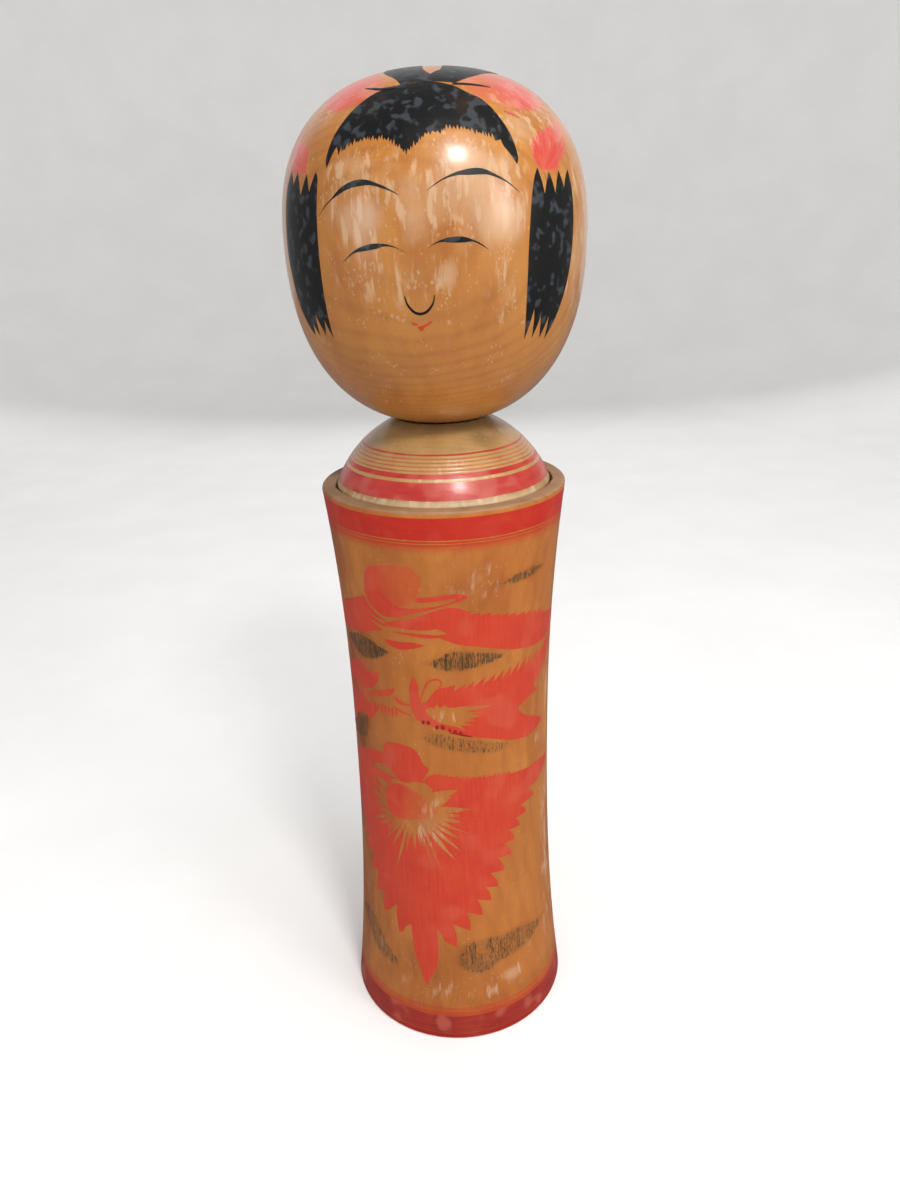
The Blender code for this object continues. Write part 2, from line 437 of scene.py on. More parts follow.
def wood_group(name, tone):
    """Node group for old waxed wood: growth rings, grain, milky water marks and painted sheen, grime and
    painted shade, gloss.
    """
    group = bpy.data.node_groups.new("wood_" + name, "ShaderNodeTree")
    sockets = (("Color", "Color"), ("Roughness", "Float"), ("Height", "Float"), ("Marks", "Float"))
    for output, kind in sockets:
        group.interface.new_socket(output, in_out="OUTPUT", socket_type="NodeSocket" + kind)
    n = Nodes(group)
    where = n.add("ShaderNodeTexCoord").outputs["Object"]

    # Growth rings about a pith beside the turning axis, wavering along the grain
    from_pith = n.add("ShaderNodeVectorMath", {0: where, 1: PITH}, operation="SUBTRACT").outputs[0]
    across = n.stretched(from_pith, (1, 1, 0.035))
    distance = n.add("ShaderNodeVectorMath", {0: across}, operation="LENGTH").outputs["Value"]
    waver = n.noise(n.stretched(where, (1, 1, 0.35)), 22, 2)
    distance = n.plus(distance, n.times(waver, 0.005))
    wave = n.math("SINE", n.times(distance, math.tau / RING_SPACING))
    latewood = n.math("POWER", n.math("MULTIPLY_ADD", wave, 0.5, 0.5), 3.0)

    grain = n.noise(n.stretched(where, (1, 1, 0.05)), 1500, 3, 0.6)
    fibres = n.noise(n.stretched(where, (1, 1, 0.09)), 420, 4, 0.6)
    clouds = n.noise(n.stretched(where, (1, 1, 0.45)), 34, 5, 0.65, 0.3)
    streaks = n.noise(n.stretched(where, (1, 1, 0.16)), 95, 4, 0.6)
    patches_of_age = n.noise(n.stretched(where, (1, 1, 0.6)), 17, 3, 0.6)
    lathe_marks = n.noise(n.stretched(where, (0.02, 0.02, 1)), 1700, 2, 0.5)

    base = n.mix(n.ramp(clouds, 0.30, 0.72), tone["dark"], tone["light"])
    base = n.mix(n.times(n.ramp(patches_of_age, 0.42, 0.68), 0.45), base, tone["warm"])
    base = n.mix(n.times(n.ramp(lathe_marks, 0.52, 0.66), 0.16), base, tone["dark"])
    base = n.mix(n.times(latewood, 0.30 * tone["rings"]), base, tone["deep"])
    base = n.mix(n.times(n.ramp(fibres, 0.52, 0.78), 0.30), base, tone["dark"])
    base = n.mix(n.times(n.ramp(streaks, 0.60, 0.40), 0.28), base, tone["light"])
    pores = n.times(n.ramp(grain, 0.60, 0.74), 0.30)
    base = n.mix(pores, base, tone["deep"])

    # Darker old wax and dirt, and painted shade where the patches put it
    grime_and_shade = n.attribute("grime_and_shade")
    dirt_and_shade_noise = n.noise(n.stretched(where, (1, 1, 0.4)), 60, 5, 0.65)
    dirt_and_shade = n.times(grime_and_shade, n.ramp(dirt_and_shade_noise, 0.25, 0.62))
    base = n.mix(n.times(dirt_and_shade, 0.80), base, tone["dirt_and_shade"])

    # Milky water marks: a soft veil, runs down the grain, and round spots; in some patches the pale marks
    # are painted sheen
    stain_and_sheen = n.attribute("stain_and_sheen")
    veil_noise = n.noise(n.stretched(where, (1, 1, 0.5)), 75, 4, 0.6, 0.4)
    veil = n.ramp(n.minus(n.times(stain_and_sheen, 0.85), veil_noise), -0.18, 0.34)
    runs = n.noise(n.stretched(where, (1, 1, 0.24)), 330, 4, 0.55, 0.3)
    lifted = n.plus(runs, n.times(stain_and_sheen, 0.17))
    run_marks = n.times(n.ramp(lifted, 0.58, 0.74), n.ramp(stain_and_sheen, 0.10, 0.45))
    marks = n.math("MAXIMUM", n.times(veil, 0.40), n.times(run_marks, 0.55))
    ragged = n.add("ShaderNodeTexNoise", {"Vector": where, "Scale": 260, "Detail": 2}).outputs[1]
    ragged = n.add("ShaderNodeVectorMath", {0: ragged, "Scale": 0.0022}, operation="SCALE").outputs[0]
    ragged = n.add("ShaderNodeVectorMath", {0: n.stretched(where, (1, 1, 0.75)), 1: ragged}).outputs[0]
    for scale, largest, weight in SPOTS:
        spot_field = n.cells(ragged, scale)
        crowd = n.plus(n.noise(where, scale * 0.22, 2), n.times(stain_and_sheen, 0.20))
        spot_size = n.times(n.ramp(crowd, 0.46, 0.72), largest)
        spots = n.ramp(n.minus(spot_size, spot_field), -0.04, 0.24)
        marks = n.math("MAXIMUM", marks, n.times(spots, weight * tone["spots"]))
    marks = n.times(marks, tone["stain_and_sheen"])
    base = n.mix(marks, base, tone["milk_and_sheen"])

    rough = n.plus(0.27, n.times(clouds, 0.10))
    rough = n.plus(rough, n.times(marks, 0.16))
    rough = n.plus(rough, n.times(dirt_and_shade, 0.22), clamp=True)
    height = n.minus(n.times(streaks, 0.5), n.times(pores, 1.2))
    height = n.plus(height, n.times(latewood, 0.30))
    height = n.plus(height, n.times(lathe_marks, 0.35))
    height = n.plus(height, n.times(marks, 0.4))
    out = n.add("NodeGroupOutput")
    for key, value in (("Color", base), ("Roughness", rough), ("Height", height), ("Marks", marks)):
        group.links.new(value, out.inputs[key])
    return group


WOODS = {name: wood_group(name, tone) for name, tone in WOOD_TONES.items()}


# Gloss of each finish: added roughness, specular level, coat weight
SATIN = (0.10, 0.28, 0.0)
WAXED = (0.02, 0.45, 0.20)
POLISHED = (0.02, 0.45, 0.42)
BARE = (0.30, 0.25, 0.0)
INKED = (0.06, 0.32, 0.10)


def finish_material(n, base, roughness, height, gloss):
    """Waxed surface on a Principled shader."""
    added_roughness, specular, coat = gloss
    normal = n.add("ShaderNodeBump", {"Strength": 0.5, "Distance": 0.00012, "Height": height})
    shader = n.tree.nodes["Principled BSDF"]
    n.tree.links.new(base, shader.inputs["Base Color"])
    n.tree.links.new(n.plus(roughness, added_roughness, True), shader.inputs["Roughness"])
    n.tree.links.new(normal.outputs[0], shader.inputs["Normal"])
    shader.inputs["Specular IOR Level"].default_value = specular
    shader.inputs["Coat Weight"].default_value = coat
    shader.inputs["Coat Roughness"].default_value = 0.17


def new_material(name):
    material = bpy.data.materials.new(name)
    material.use_nodes = True
    return material, Nodes(material.node_tree)


def wood_material(name, tone, gloss):
    material, n = new_material(name)
    wood = n.add("ShaderNodeGroup", node_tree=WOODS[tone])
    finish_material(n, wood.outputs["Color"], wood.outputs["Roughness"], wood.outputs["Height"], gloss)
    return material


def paint_material(
    name, tone, gloss, thin, thick, bloom, bloom_scale, wear=0.35, dryness=0.0, broken_at=0.40,
):
    """Dye or ink brushed on wood: streaked along the brush, worn thin in places, with bloom on top.

    bloom is a colour and how much of it comes as blotches and as the wood's water marks and painted sheen;
    dryness is the share of the cover that comes as flecks, and broken_at is how rare they are.
    """
    material, n = new_material(name)
    wood = n.add("ShaderNodeGroup", node_tree=WOODS[tone])
    where = n.add("ShaderNodeTexCoord").outputs["Object"]
    brush = n.add("ShaderNodeAttribute", attribute_name="brush").outputs["Vector"]
    load = n.attribute("pigment_load")
    bristles = n.noise(n.stretched(brush, (1, 0.05, 1)), 900, 3, 0.6)
    pooling = n.noise(brush, 55, 3, 0.5)
    fibres = n.noise(n.stretched(where, (1, 1, 0.05)), 1100, 2, 0.6)
    amount = n.plus(n.times(bristles, 0.55), n.times(pooling, 0.45))
    pigment = n.mix(n.ramp(amount, 0.30, 0.70), thin, thick)
    pigment = n.mix(n.times(n.ramp(fibres, 0.56, 0.72), 0.25), pigment, thick)

    # A dry brush leaves flecks on the raised fibres, and a wet one thins to a wash
    flecks = n.noise(n.stretched(where, (1, 1, 0.14)), 2500, 3, 0.65)
    broken = n.plus(n.times(bristles, 0.30), n.times(flecks, 0.70))
    threshold = n.math("MULTIPLY_ADD", load, -0.34, broken_at + 0.34)
    dry = n.ramp(n.minus(broken, threshold), -0.07, 0.08)
    wash = n.times(load, n.math("MULTIPLY_ADD", pooling, 0.35, 0.85), clamp=True)
    hold = n.plus(n.times(dry, dryness), n.times(wash, 1 - dryness), clamp=True)
    worn = n.ramp(n.noise(n.stretched(where, (1, 1, 0.5)), 170, 5, 0.7), 0.64, 0.76)
    hold = n.times(hold, n.minus(1.0, n.times(worn, wear)))
    base = n.mix(hold, wood.outputs["Color"], pigment)
    bloom_colour, blotches, wood_marks = bloom
    blotch = n.times(n.ramp(n.noise(where, bloom_scale, 1.0, 0.5), 0.53, 0.66), blotches)
    marks = n.math("MAXIMUM", blotch, n.times(wood.outputs["Marks"], wood_marks))
    base = n.mix(marks, base, bloom_colour)
    height = n.plus(wood.outputs["Height"], n.times(hold, 0.15))
    finish_material(n, base, wood.outputs["Roughness"], height, gloss)
    return material


MATERIALS = {
    "trunk_wood": wood_material("trunk_wood_aged", "honey", SATIN),
    "head_wood": wood_material("head_wood_aged", "head", POLISHED),
    "dome_wood": wood_material("shoulder_wood_aged", "dome", WAXED),
    "ledge_wood": wood_material("ledge_wood_worn", "ledge", BARE),
    "raw_wood": wood_material("raw_wood", "raw", BARE),
    "flower": paint_material(
        "red_dye_brushed", "honey", SATIN, colour(0.49, 0.044, 0.015), colour(0.44, 0.026, 0.009),
        (colour(0.54, 0.20, 0.11), 0.10, 0.5), 60, wear=0.25,
    ),
    "band": paint_material(
        "red_dye_turned", "honey", SATIN, colour(0.445, 0.018, 0.005), colour(0.385, 0.010, 0.003),
        (colour(0.50, 0.13, 0.06), 0.08, 0.5), 90, wear=0.35,
    ),
    "foot_band": paint_material(
        "red_dye_worn", "honey", SATIN, colour(0.33, 0.027, 0.012), colour(0.22, 0.010, 0.006),
        (colour(0.46, 0.12, 0.08), 0.45, 0.7), 75, wear=0.6,
    ),
    "foot_strip": paint_material(
        "red_dye_foot_edge", "honey", SATIN, colour(0.34, 0.014, 0.007), colour(0.25, 0.007, 0.004),
        (colour(0.46, 0.10, 0.07), 0.20, 0.5), 75, wear=0.4,
    ),
    "dark_dye": paint_material(
        "red_dye_pooled", "honey", SATIN, colour(0.30, 0.010, 0.005), colour(0.20, 0.006, 0.004),
        (colour(0.40, 0.08, 0.05), 0.05, 0.3), 90, wear=0.1,
    ),
    "dome_band": paint_material(
        "red_dye_dome", "dome", WAXED, colour(0.46, 0.046, 0.030), colour(0.36, 0.018, 0.016),
        (colour(0.56, 0.22, 0.16), 0.22, 0.5), 80, wear=0.4,
    ),
    "ribbon": paint_material(
        "red_dye_ribbon", "head", POLISHED, colour(0.55, 0.110, 0.080), colour(0.50, 0.028, 0.026),
        (colour(0.56, 0.30, 0.22), 0.25, 0.5), 110, dryness=0.45, broken_at=0.42,
    ),
    "ink": paint_material(
        "black_ink_brushed", "head", INKED, colour(0.0065, 0.0065, 0.007), colour(0.003, 0.003, 0.0035),
        (colour(0.036, 0.042, 0.048), 0.80, 0.08), 260, wear=0.05,
    ),
    "dry_ink": paint_material(
        "black_ink_dry", "honey", SATIN, colour(0.085, 0.048, 0.016), colour(0.036, 0.021, 0.008),
        (colour(0.34, 0.20, 0.11), 0.06, 0.3), 90, wear=0.25, dryness=0.80, broken_at=0.465,
    ),
}


# ---------------------------------------------------------------- meshes

def register(name, mesh, materials, body):
    """Make the piece, on the body that it moves with, with its materials."""
    for key in materials:
        mesh.materials.append(MATERIALS[key])
    piece = bpy.data.objects.new(name, mesh)
    bpy.context.collection.objects.link(piece)
    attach(piece, body)
    return piece


def turned_skin(name, profile, surface, materials, shift=None):
    """A closed turned solid. Profile rows are (radius, z, material index, v), from axis to axis.

    shift gives how far wear moves a vertex inwards and down.
    """
    rows = len(profile)
    lengths = [0.0]
    for before, after in zip(profile, profile[1:]):
        lengths.append(lengths[-1] + math.hypot(after[0] - before[0], after[1] - before[1]))
    verts, places, faces, face_material, uvs = [], [], [], [], []
    ring_starts = []
    for radius, z, _, v in profile:
        ring_starts.append(len(verts))
        count = 1 if radius < 1e-9 else SKIN_STEPS
        for step in range(count):
            azimuth = 360 * step / SKIN_STEPS - 180
            angle = math.radians(azimuth)
            inward, drop = shift(azimuth, radius, z) if shift and count > 1 else (0.0, 0.0)
            worn = radius - inward
            verts.append((worn * math.sin(angle), -worn * math.cos(angle), z - drop))
            places.append((azimuth, v))
    for row in range(rows - 1):
        top, bottom = ring_starts[row], ring_starts[row + 1]
        top_pole = profile[row][0] < 1e-9
        bottom_pole = profile[row + 1][0] < 1e-9
        v_top, v_bottom = 1 - lengths[row] / lengths[-1], 1 - lengths[row + 1] / lengths[-1]
        for step in range(SKIN_STEPS):
            after = (step + 1) % SKIN_STEPS
            left, right = step / SKIN_STEPS, (step + 1) / SKIN_STEPS
            middle = (left + right) / 2
            if top_pole:
                faces.append((top, bottom + step, bottom + after))
                uvs += [(middle, v_top), (left, v_bottom), (right, v_bottom)]
            elif bottom_pole:
                faces.append((top + after, top + step, bottom))
                uvs += [(right, v_top), (left, v_top), (middle, v_bottom)]
            else:
                faces.append((top + after, top + step, bottom + step, bottom + after))
                uvs += [(right, v_top), (left, v_top), (left, v_bottom), (right, v_bottom)]
            face_material.append(profile[row][2])
    mesh = bpy.data.meshes.new(name)
    mesh.from_pydata(verts, [], faces)
    mesh.polygons.foreach_set("material_index", face_material)
    layer = mesh.uv_layers.new(name="OFBake")
    layer.data.foreach_set("uv", [value for pair in uvs for value in pair])
    add_weather_and_painted_light(mesh, surface, places)
    mesh.shade_smooth()
    mesh.set_sharp_from_angle(angle=math.radians(32))
    return register(name, mesh, materials, surface.body)


def smooth_run(points):
    """Catmull-Rom curve through the points, resampled finely."""
    if len(points) < 3:
        path = [Vector(point) for point in points]
    else:
        ends = [Vector(points[0]) * 2 - Vector(points[1])], [Vector(points[-1]) * 2 - Vector(points[-2])]
        knots = ends[0] + [Vector(point) for point in points] + ends[1]
        path = []
        for before, start, end, after in zip(knots, knots[1:], knots[2:], knots[3:]):
            steps = max(2, math.ceil((end - start).length / OUTLINE_STEP))
            for step in range(steps):
                t = step / steps
                path.append(0.5 * (
                    2 * start + (end - before) * t
                    + (2 * before - 5 * start + 4 * end - after) * t * t
                    + (3 * start - before - 3 * end + after) * t ** 3
                ))
        path.append(Vector(points[-1]))
    fine = [path[0]]
    for point in path[1:]:
        gap = (point - fine[-1]).length
        pieces = max(1, math.ceil(gap / OUTLINE_STEP))
        start = fine[-1]
        fine += [start.lerp(point, step / pieces) for step in range(1, pieces + 1)]
    return fine


def closed_path(surface, runs):
    """Outline of a painted shape. Each run is a smooth curve that starts where the last one ended."""
    path = []
    corner = None
    for run in runs:
        points = [surface.flat(*point) for point in run]
        if corner is not None:
            points.insert(0, corner)
        corner = points[-1]
        stretch = smooth_run(points) if len(points) > 1 else [Vector(points[0])]
        path += stretch if not path else stretch[1:]
    path += smooth_run([tuple(path[-1]), tuple(path[0])])[1:-1]
    kept = [path[0]]
    for point in path[1:]:
        if (point - kept[-1]).length > 0.05:
            kept.append(point)
    return kept


# Width of a fanned stroke in the brush coordinates, in metres per radian
FAN_SPREAD = 0.022


def inside(points, loops):
    """Even-odd test of an array of points against closed loops."""
    result = np.zeros(len(points), dtype=bool)
    for loop in loops:
        ring = np.array(loop)
        for start, end in zip(ring, np.roll(ring, -1, axis=0)):
            if start[1] == end[1]:
                continue
            crosses = (start[1] > points[:, 1]) != (end[1] > points[:, 1])
            at = start[0] + (points[:, 1] - start[1]) * (end[0] - start[0]) / (end[1] - start[1])
            result ^= crosses & (points[:, 0] < at)
    return result


def edge_distance(points, loops):
    """Distance of each point to the nearest outline point."""
    ring = np.concatenate([np.array(loop) for loop in loops])
    gaps = [np.min(np.hypot(*(ring - point).T)) for point in points]
    return np.array(gaps)


def fans_at(vertex, touching, faces):
    """Groups of the faces round a vertex that hang together by their edges."""
    fans = []
    for index in touching:
        others, members = set(faces[index]) - {vertex}, [index]
        for fan in [fan for fan in fans if fan[0] & others]:
            fans.remove(fan)
            others |= fan[0]
            members += fan[1]
        fans.append((others, members))
    return fans


def split_pinches(flat, faces):
    """Part the triangles that meet only at a vertex, where outlines cross, so that shells stay closed."""
    around = {}
    for index, face in enumerate(faces):
        for vertex in face:
            around.setdefault(vertex, []).append(index)
    for vertex, touching in around.items():
        fans = fans_at(vertex, touching, faces)
        if len(fans) == 1:
            continue
        place = flat[vertex].copy()
        for number, (neighbours, members) in enumerate(fans):
            middle = sum((flat[i] for i in sorted(neighbours)), Vector((0, 0))) / len(neighbours)
            own = len(flat) if number else vertex
            if number:
                flat.append(place)
            flat[own] = place.lerp(middle, PINCH_GAP)
            for index in members:
                faces[index] = [own if i == vertex else i for i in faces[index]]


def painted(
    name, surface, outlines, material, slot, lift=0, soft=0.0, load=1.0, brush=None, fill=FILL_STEP,
):
    """A coat of paint as a thin closed shell on a turned surface.

    outlines are closed paths by the even-odd rule; lift is how many coats it lies above the wood;
    soft is the width in millimetres over which the paint thins out towards its edge; load is its
    full density, a number or a function of the place; brush is the point that the brush strokes fan
    out from, or None for strokes along the grain; fill is how far apart inner vertices lie.
    """
    loops = [closed_path(surface, runs) for runs in outlines]
    border = [tuple(point) for loop in loops for point in loop]
    edges = []
    start = 0
    for loop in loops:
        count = len(loop)
        edges += [(start + step, start + (step + 1) % count) for step in range(count)]
        start += count
    low, high = np.min(border, axis=0), np.max(border, axis=0)
    grid = [
        (x + (row % 2) * fill / 2, y)
        for row, y in enumerate(np.arange(low[1], high[1], fill * 0.87))
        for x in np.arange(low[0], high[0], fill)
    ]
    interior = np.empty((0, 2))
    if grid:
        grid = np.array(grid)
        grid = grid[inside(grid, loops)]
        if len(grid):
            interior = grid[edge_distance(grid, loops) > fill * 0.42]
    coords = [Vector(point) for point in border] + [Vector(point) for point in interior.tolist()]
    flat, _, faces, *_ = delaunay_2d_cdt(coords, edges, [], 0, 1e-5)
    centres = np.array([np.mean([flat[i] for i in face], axis=0) for face in faces])
    faces = [face for face, kept in zip(faces, inside(centres, loops)) if kept]
    used = sorted({i for face in faces for i in face})
    order = {old: new for new, old in enumerate(used)}
    flat = [flat[i] for i in used]
    faces = [[order[i] for i in face] for face in faces]
    split_pinches(flat, faces)

    places = [surface.unflat(*point) for point in flat]
    spots = [surface.at(*place) for place in places]
    proud = PAINT_PROUD * (1 + lift)
    verts = [point + normal * proud for point, normal in spots]
    verts += [point - normal * PAINT_EMBED for point, normal in spots]
    count = len(flat)
    sides = {}
    for face in faces:
        for a, b in zip(face, face[1:] + face[:1]):
            sides[(a, b)] = sides.get((a, b), 0) + 1
    rim = [(a, b) for a, b in sides if (b, a) not in sides]
    a, b, c = (Vector(verts[i]) for i in faces[0][:3])
    if (b - a).cross(c - a).dot(spots[faces[0][0]][1]) < 0:
        faces = [face[::-1] for face in faces]
        rim = [(b, a) for a, b in rim]
    all_faces = faces + [[i + count for i in face[::-1]] for face in faces]
    all_faces += [[b, a, a + count, b + count] for a, b in rim]
    mesh = bpy.data.meshes.new(name)
    mesh.from_pydata(verts, [], all_faces)
    normals = []
    for index, face in enumerate(all_faces):
        if index < len(faces):
            normals += [tuple(spots[i][1]) for i in face]
        elif index < 2 * len(faces):
            normals += [tuple(-spots[i - count][1]) for i in face]
        else:
            wall = [Vector(verts[i]) for i in face]
            wall_normal = (wall[1] - wall[0]).cross(wall[2] - wall[1]).normalized()
            normals += [tuple(wall_normal)] * 4
    mesh.shade_smooth()
    mesh.normals_split_custom_set(normals)

    thinning = np.clip(edge_distance(flat, loops) / soft, 0.0, 1.0) if soft > 0 else np.ones(count)
    loads = [load(*place) if callable(load) else load for place in places]
    loads = [float(share * amount) for share, amount in zip(thinning, loads)]
    if brush is None:
        strokes = [(x * MM, y * MM, 0.0) for x, y in flat]
    else:
        centre = Vector(surface.flat(*brush))
        from_centre = [Vector((x, y)) - centre for x, y in flat]
        strokes = [(math.atan2(way.y, way.x) * FAN_SPREAD, way.length * MM, 0.0) for way in from_centre]
    add_attribute(mesh, "pigment_load", loads * 2)
    add_brush(mesh, strokes * 2)
    add_weather_and_painted_light(mesh, surface, places * 2)
    return register(name, mesh, [material], surface.body)


def turned_band(name, surface, low, high, material, seed, load=1.0, wobble=0.12, fade=0.0):
    """A band of dye laid on while the piece turned: a closed ring shell between two levels.

    wobble is how far its edges waver, in millimetres, and fade how much it thins towards low.
    """
    rows = max(1, math.ceil((high - low) / surface.row))
    verts, faces, normals_at, places, loads = [], [], [], [], []
    ring = rows + 1
    for step in range(SKIN_STEPS):
        azimuth = 360 * step / SKIN_STEPS - 180
        angle = math.radians(azimuth)
        around = (3 * math.cos(angle), 3 * math.sin(angle))
        waver = [wobble * noise.noise((*around, seed + shift)) for shift in (0, 7.3)]
        for side, offset in ((0, PAINT_PROUD), (1, -PAINT_EMBED)):
            for row in range(ring):
                t = row / rows
                v = (low + waver[0]) * (1 - t) + (high + waver[1]) * t
                point, normal = surface.at(azimuth, v)
                verts.append(point + normal * offset)
                normals_at.append(normal if side == 0 else -normal)
                places.append((azimuth, v))
                loads.append(load * (1 - fade * (1 - t)))
    span = 2 * ring
    for step in range(SKIN_STEPS):
        here, after = step * span, (step + 1) % SKIN_STEPS * span
        back, back_after = here + ring, after + ring
        for row in range(rows):
            faces.append((here + row, after + row, after + row + 1, here + row + 1))
            faces.append((back + row + 1, back_after + row + 1, back_after + row, back + row))
        faces.append((back, back_after, after, here))
        faces.append((here + rows, after + rows, back_after + rows, back + rows))
    point = [Vector(verts[i]) for i in faces[0][:3]]
    if (point[1] - point[0]).cross(point[2] - point[1]).dot(normals_at[0]) < 0:
        faces = [face[::-1] for face in faces]
    mesh = bpy.data.meshes.new(name)
    mesh.from_pydata(verts, [], faces)
    mesh.shade_smooth()
    mesh.set_sharp_from_angle(angle=math.radians(40))
    add_attribute(mesh, "pigment_load", loads)
    add_brush(mesh, [(v * MM, math.radians(azimuth) * 0.05, 0.0) for azimuth, v in places])
    add_weather_and_painted_light(mesh, surface, places)
    return register(name, mesh, [material], surface.body)


# ---------------------------------------------------------------- turned wood

def between(start, end, steps):
    return [start + (end - start) * step / steps for step in range(steps + 1)]


def arc(centre, radius, start, end, steps):
    angles = [math.radians(angle) for angle in between(start, end, steps)]
    return [(centre[0] + radius * math.cos(angle), centre[1] + radius * math.sin(angle)) for angle in angles]


def with_surface(points, material, v=None):
    """Profile rows from (radius, z); faces off the painted surface take their weather from place v."""
    return [(radius, z, material, z / MM if v is None else v) for radius, z in points]


CHIP_ZONE = 0.0007
SPLIT_DEPTH = 0.0030


def rim_wear(azimuth, radius, z):
    """Small chips on the rim's and the foot's edges, and a split beside the shoulder's seam."""
    angle = math.radians(azimuth)
    around = (math.cos(angle), math.sin(angle))
    fine = noise.noise((around[0] * 16, around[1] * 16, 4.0))
    coarse = noise.noise((around[0] * 5, around[1] * 5, 9.0))
    inward = drop = 0.0
    if radius > RIM_RADIUS - 0.0022 and z > TRUNK_HEIGHT - CHIP_ZONE:
        chip = max(0.0, fine * 0.7 + coarse * 0.5 - 0.20)
        inward, drop = 0.0004 * chip, 0.0007 * chip
    elif radius < SHOULDER_RADIUS + CLEARANCE + 0.0005 and z > TRUNK_HEIGHT - SPLIT_DEPTH:
        split = bump(turned_by(azimuth, 82), 0, 22) + 0.6 * bump(azimuth, -78, 12)
        ragged = 0.35 + 1.3 * abs(noise.noise((around[0] * 40, around[1] * 40, 2.0)))
        inward = -0.0016 * split * ragged
    elif radius > FOOT_RADIUS - 0.0012 and z < CHIP_ZONE:
        chip = max(0.0, fine * 0.6 + coarse * 0.5 - 0.25)
        inward, drop = 0.0007 * chip, -0.0005 * chip
    return inward, drop


recess_radius = SHOULDER_RADIUS + CLEARANCE
recess_floor = TRUNK_HEIGHT - SPIGOT_LENGTH - CLEARANCE
dish_edge = FOOT_RADIUS - FOOT_ROUNDING - FOOT_RING_WIDTH
ledge_end = RIM_RADIUS - RIM_ROUNDING
foot_centre = (FOOT_RADIUS - FOOT_ROUNDING, FOOT_ROUNDING)
LEDGE_RIPPLE = 0.00004
LEDGE_RIPPLE_PITCH = 0.0006
TOOL_STEP_DEPTH = 0.0003

FLANK, LEDGE, RAW = 0, 1, 2
trunk_rows = with_surface([(0, recess_floor), (recess_radius / 2, recess_floor)], RAW, 20)
trunk_rows += with_surface([(recess_radius, recess_floor)], RAW, 20)
trunk_rows += with_surface([(recess_radius, TRUNK_HEIGHT - 0.0028)], LEDGE, 20)
trunk_rows += with_surface([(recess_radius, TRUNK_HEIGHT - 0.00025)], LEDGE, 286)
trunk_rows += with_surface([(recess_radius + 0.0003, TRUNK_HEIGHT)], LEDGE, 287)
for radius in between(recess_radius + 0.0028, ledge_end, 4)[:-1]:
    ripple = LEDGE_RIPPLE * math.sin(radius / LEDGE_RIPPLE_PITCH)
    trunk_rows += with_surface([(radius, TRUNK_HEIGHT - LEDGE_RIPPLE + ripple)], LEDGE, 287)
rim_arc = arc((ledge_end, TRUNK_HEIGHT - RIM_ROUNDING), RIM_ROUNDING, 90, 0, 8)
trunk_rows += with_surface(rim_arc[:6], LEDGE) + with_surface(rim_arc[6:], FLANK)
for z in between(TRUNK_HEIGHT - RIM_ROUNDING, FOOT_ROUNDING, 110)[1:-1]:
    trunk_rows += with_surface([(trunk_radius(z), z)], FLANK)
trunk_rows += with_surface(arc(foot_centre, FOOT_ROUNDING, 0, -50, 4), FLANK)
trunk_rows += with_surface(arc(foot_centre, FOOT_ROUNDING, -70, -90, 1), RAW)
trunk_rows += with_surface([(dish_edge + 0.004, 0), (dish_edge, 0)], RAW, 30)
trunk_rows += with_surface([(dish_edge - DISH_BANK, DISH_DEPTH)], RAW, 30)
for radius in between(dish_edge - DISH_BANK - 0.0004, LATHE_CENTRE + 0.0004, 36):
    step = TOOL_STEP_DEPTH * math.sin(radius * math.tau / TOOL_STEP) - TOOL_STEP_DEPTH
    trunk_rows += with_surface([(radius, DISH_DEPTH + step)], RAW, 30)
trunk_rows += with_surface([(LATHE_CENTRE, DISH_DEPTH), (0, DISH_DEPTH + LATHE_CENTRE_DEPTH)], RAW, 30)
trunk_woods = ["trunk_wood", "ledge_wood", "raw_wood"]
trunk_skin = turned_skin("trunk_turned", trunk_rows, TRUNK, trunk_woods, rim_wear)
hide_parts("trunk")


def swelling(radius, middle, half_height):
    """Rows of a bulb, or of the socket round it, from the top down without its two ends."""
    rows = []
    for angle in between(90, -90, 8)[1:-1]:
        swell, rise = math.cos(math.radians(angle)), math.sin(math.radians(angle))
        rows.append((radius + BULB_SWELL * swell, middle + half_height * rise))
    return rows


# Shoulder: socket, seat, dome with scored lines, spigot
seat_z = dome_z(SEAT_RADIUS) - SEAT_DEPTH
socket = NECK_RADIUS + CLEARANCE
socket_floor = seat_z - (NECK_LENGTH + BULB_LENGTH + 0.0002)
socket_mouth = seat_z - NECK_LENGTH + 0.0008
spigot_end = TRUNK_HEIGHT - SPIGOT_LENGTH
SCORES = (35.1, 36.6, 37.9, 39.1, 40.3, 41.25, 43.35, 47.95)
SCORE_DEPTH = 0.00011
SCORE_WIDTH = 0.16


def scored(radius):
    """Depth of the fine lines that the turning tool left between the dome's bands."""
    return sum(SCORE_DEPTH * bump(radius / MM, line, SCORE_WIDTH) for line in SCORES)


DOME_FACE, PLUG = 0, 1
bulb_middle = seat_z - NECK_LENGTH - BULB_LENGTH / 2
socket_rows = swelling(socket, bulb_middle, BULB_LENGTH / 2 + BULB_CLEARANCE)[::-1]
shoulder_rows = with_surface([(0, socket_floor), (socket, socket_floor)], PLUG, 22)
shoulder_rows += with_surface(socket_rows, PLUG, 22)
shoulder_rows += with_surface([(socket, socket_mouth), (socket, seat_z - EDGE_BREAK)], PLUG, 22)
seat_rows = [(socket + EDGE_BREAK, seat_z), (SEAT_RADIUS - SEAT_DEPTH, seat_z)]
shoulder_rows += with_surface(seat_rows, DOME_FACE, 21)
BARE_TOP = 0.0345
for radius in between(SEAT_RADIUS, BARE_TOP, 14) + between(BARE_TOP, SHOULDER_RADIUS, 150)[1:]:
    shoulder_rows.append((radius, dome_z(radius) - scored(radius), DOME_FACE, radius / MM))
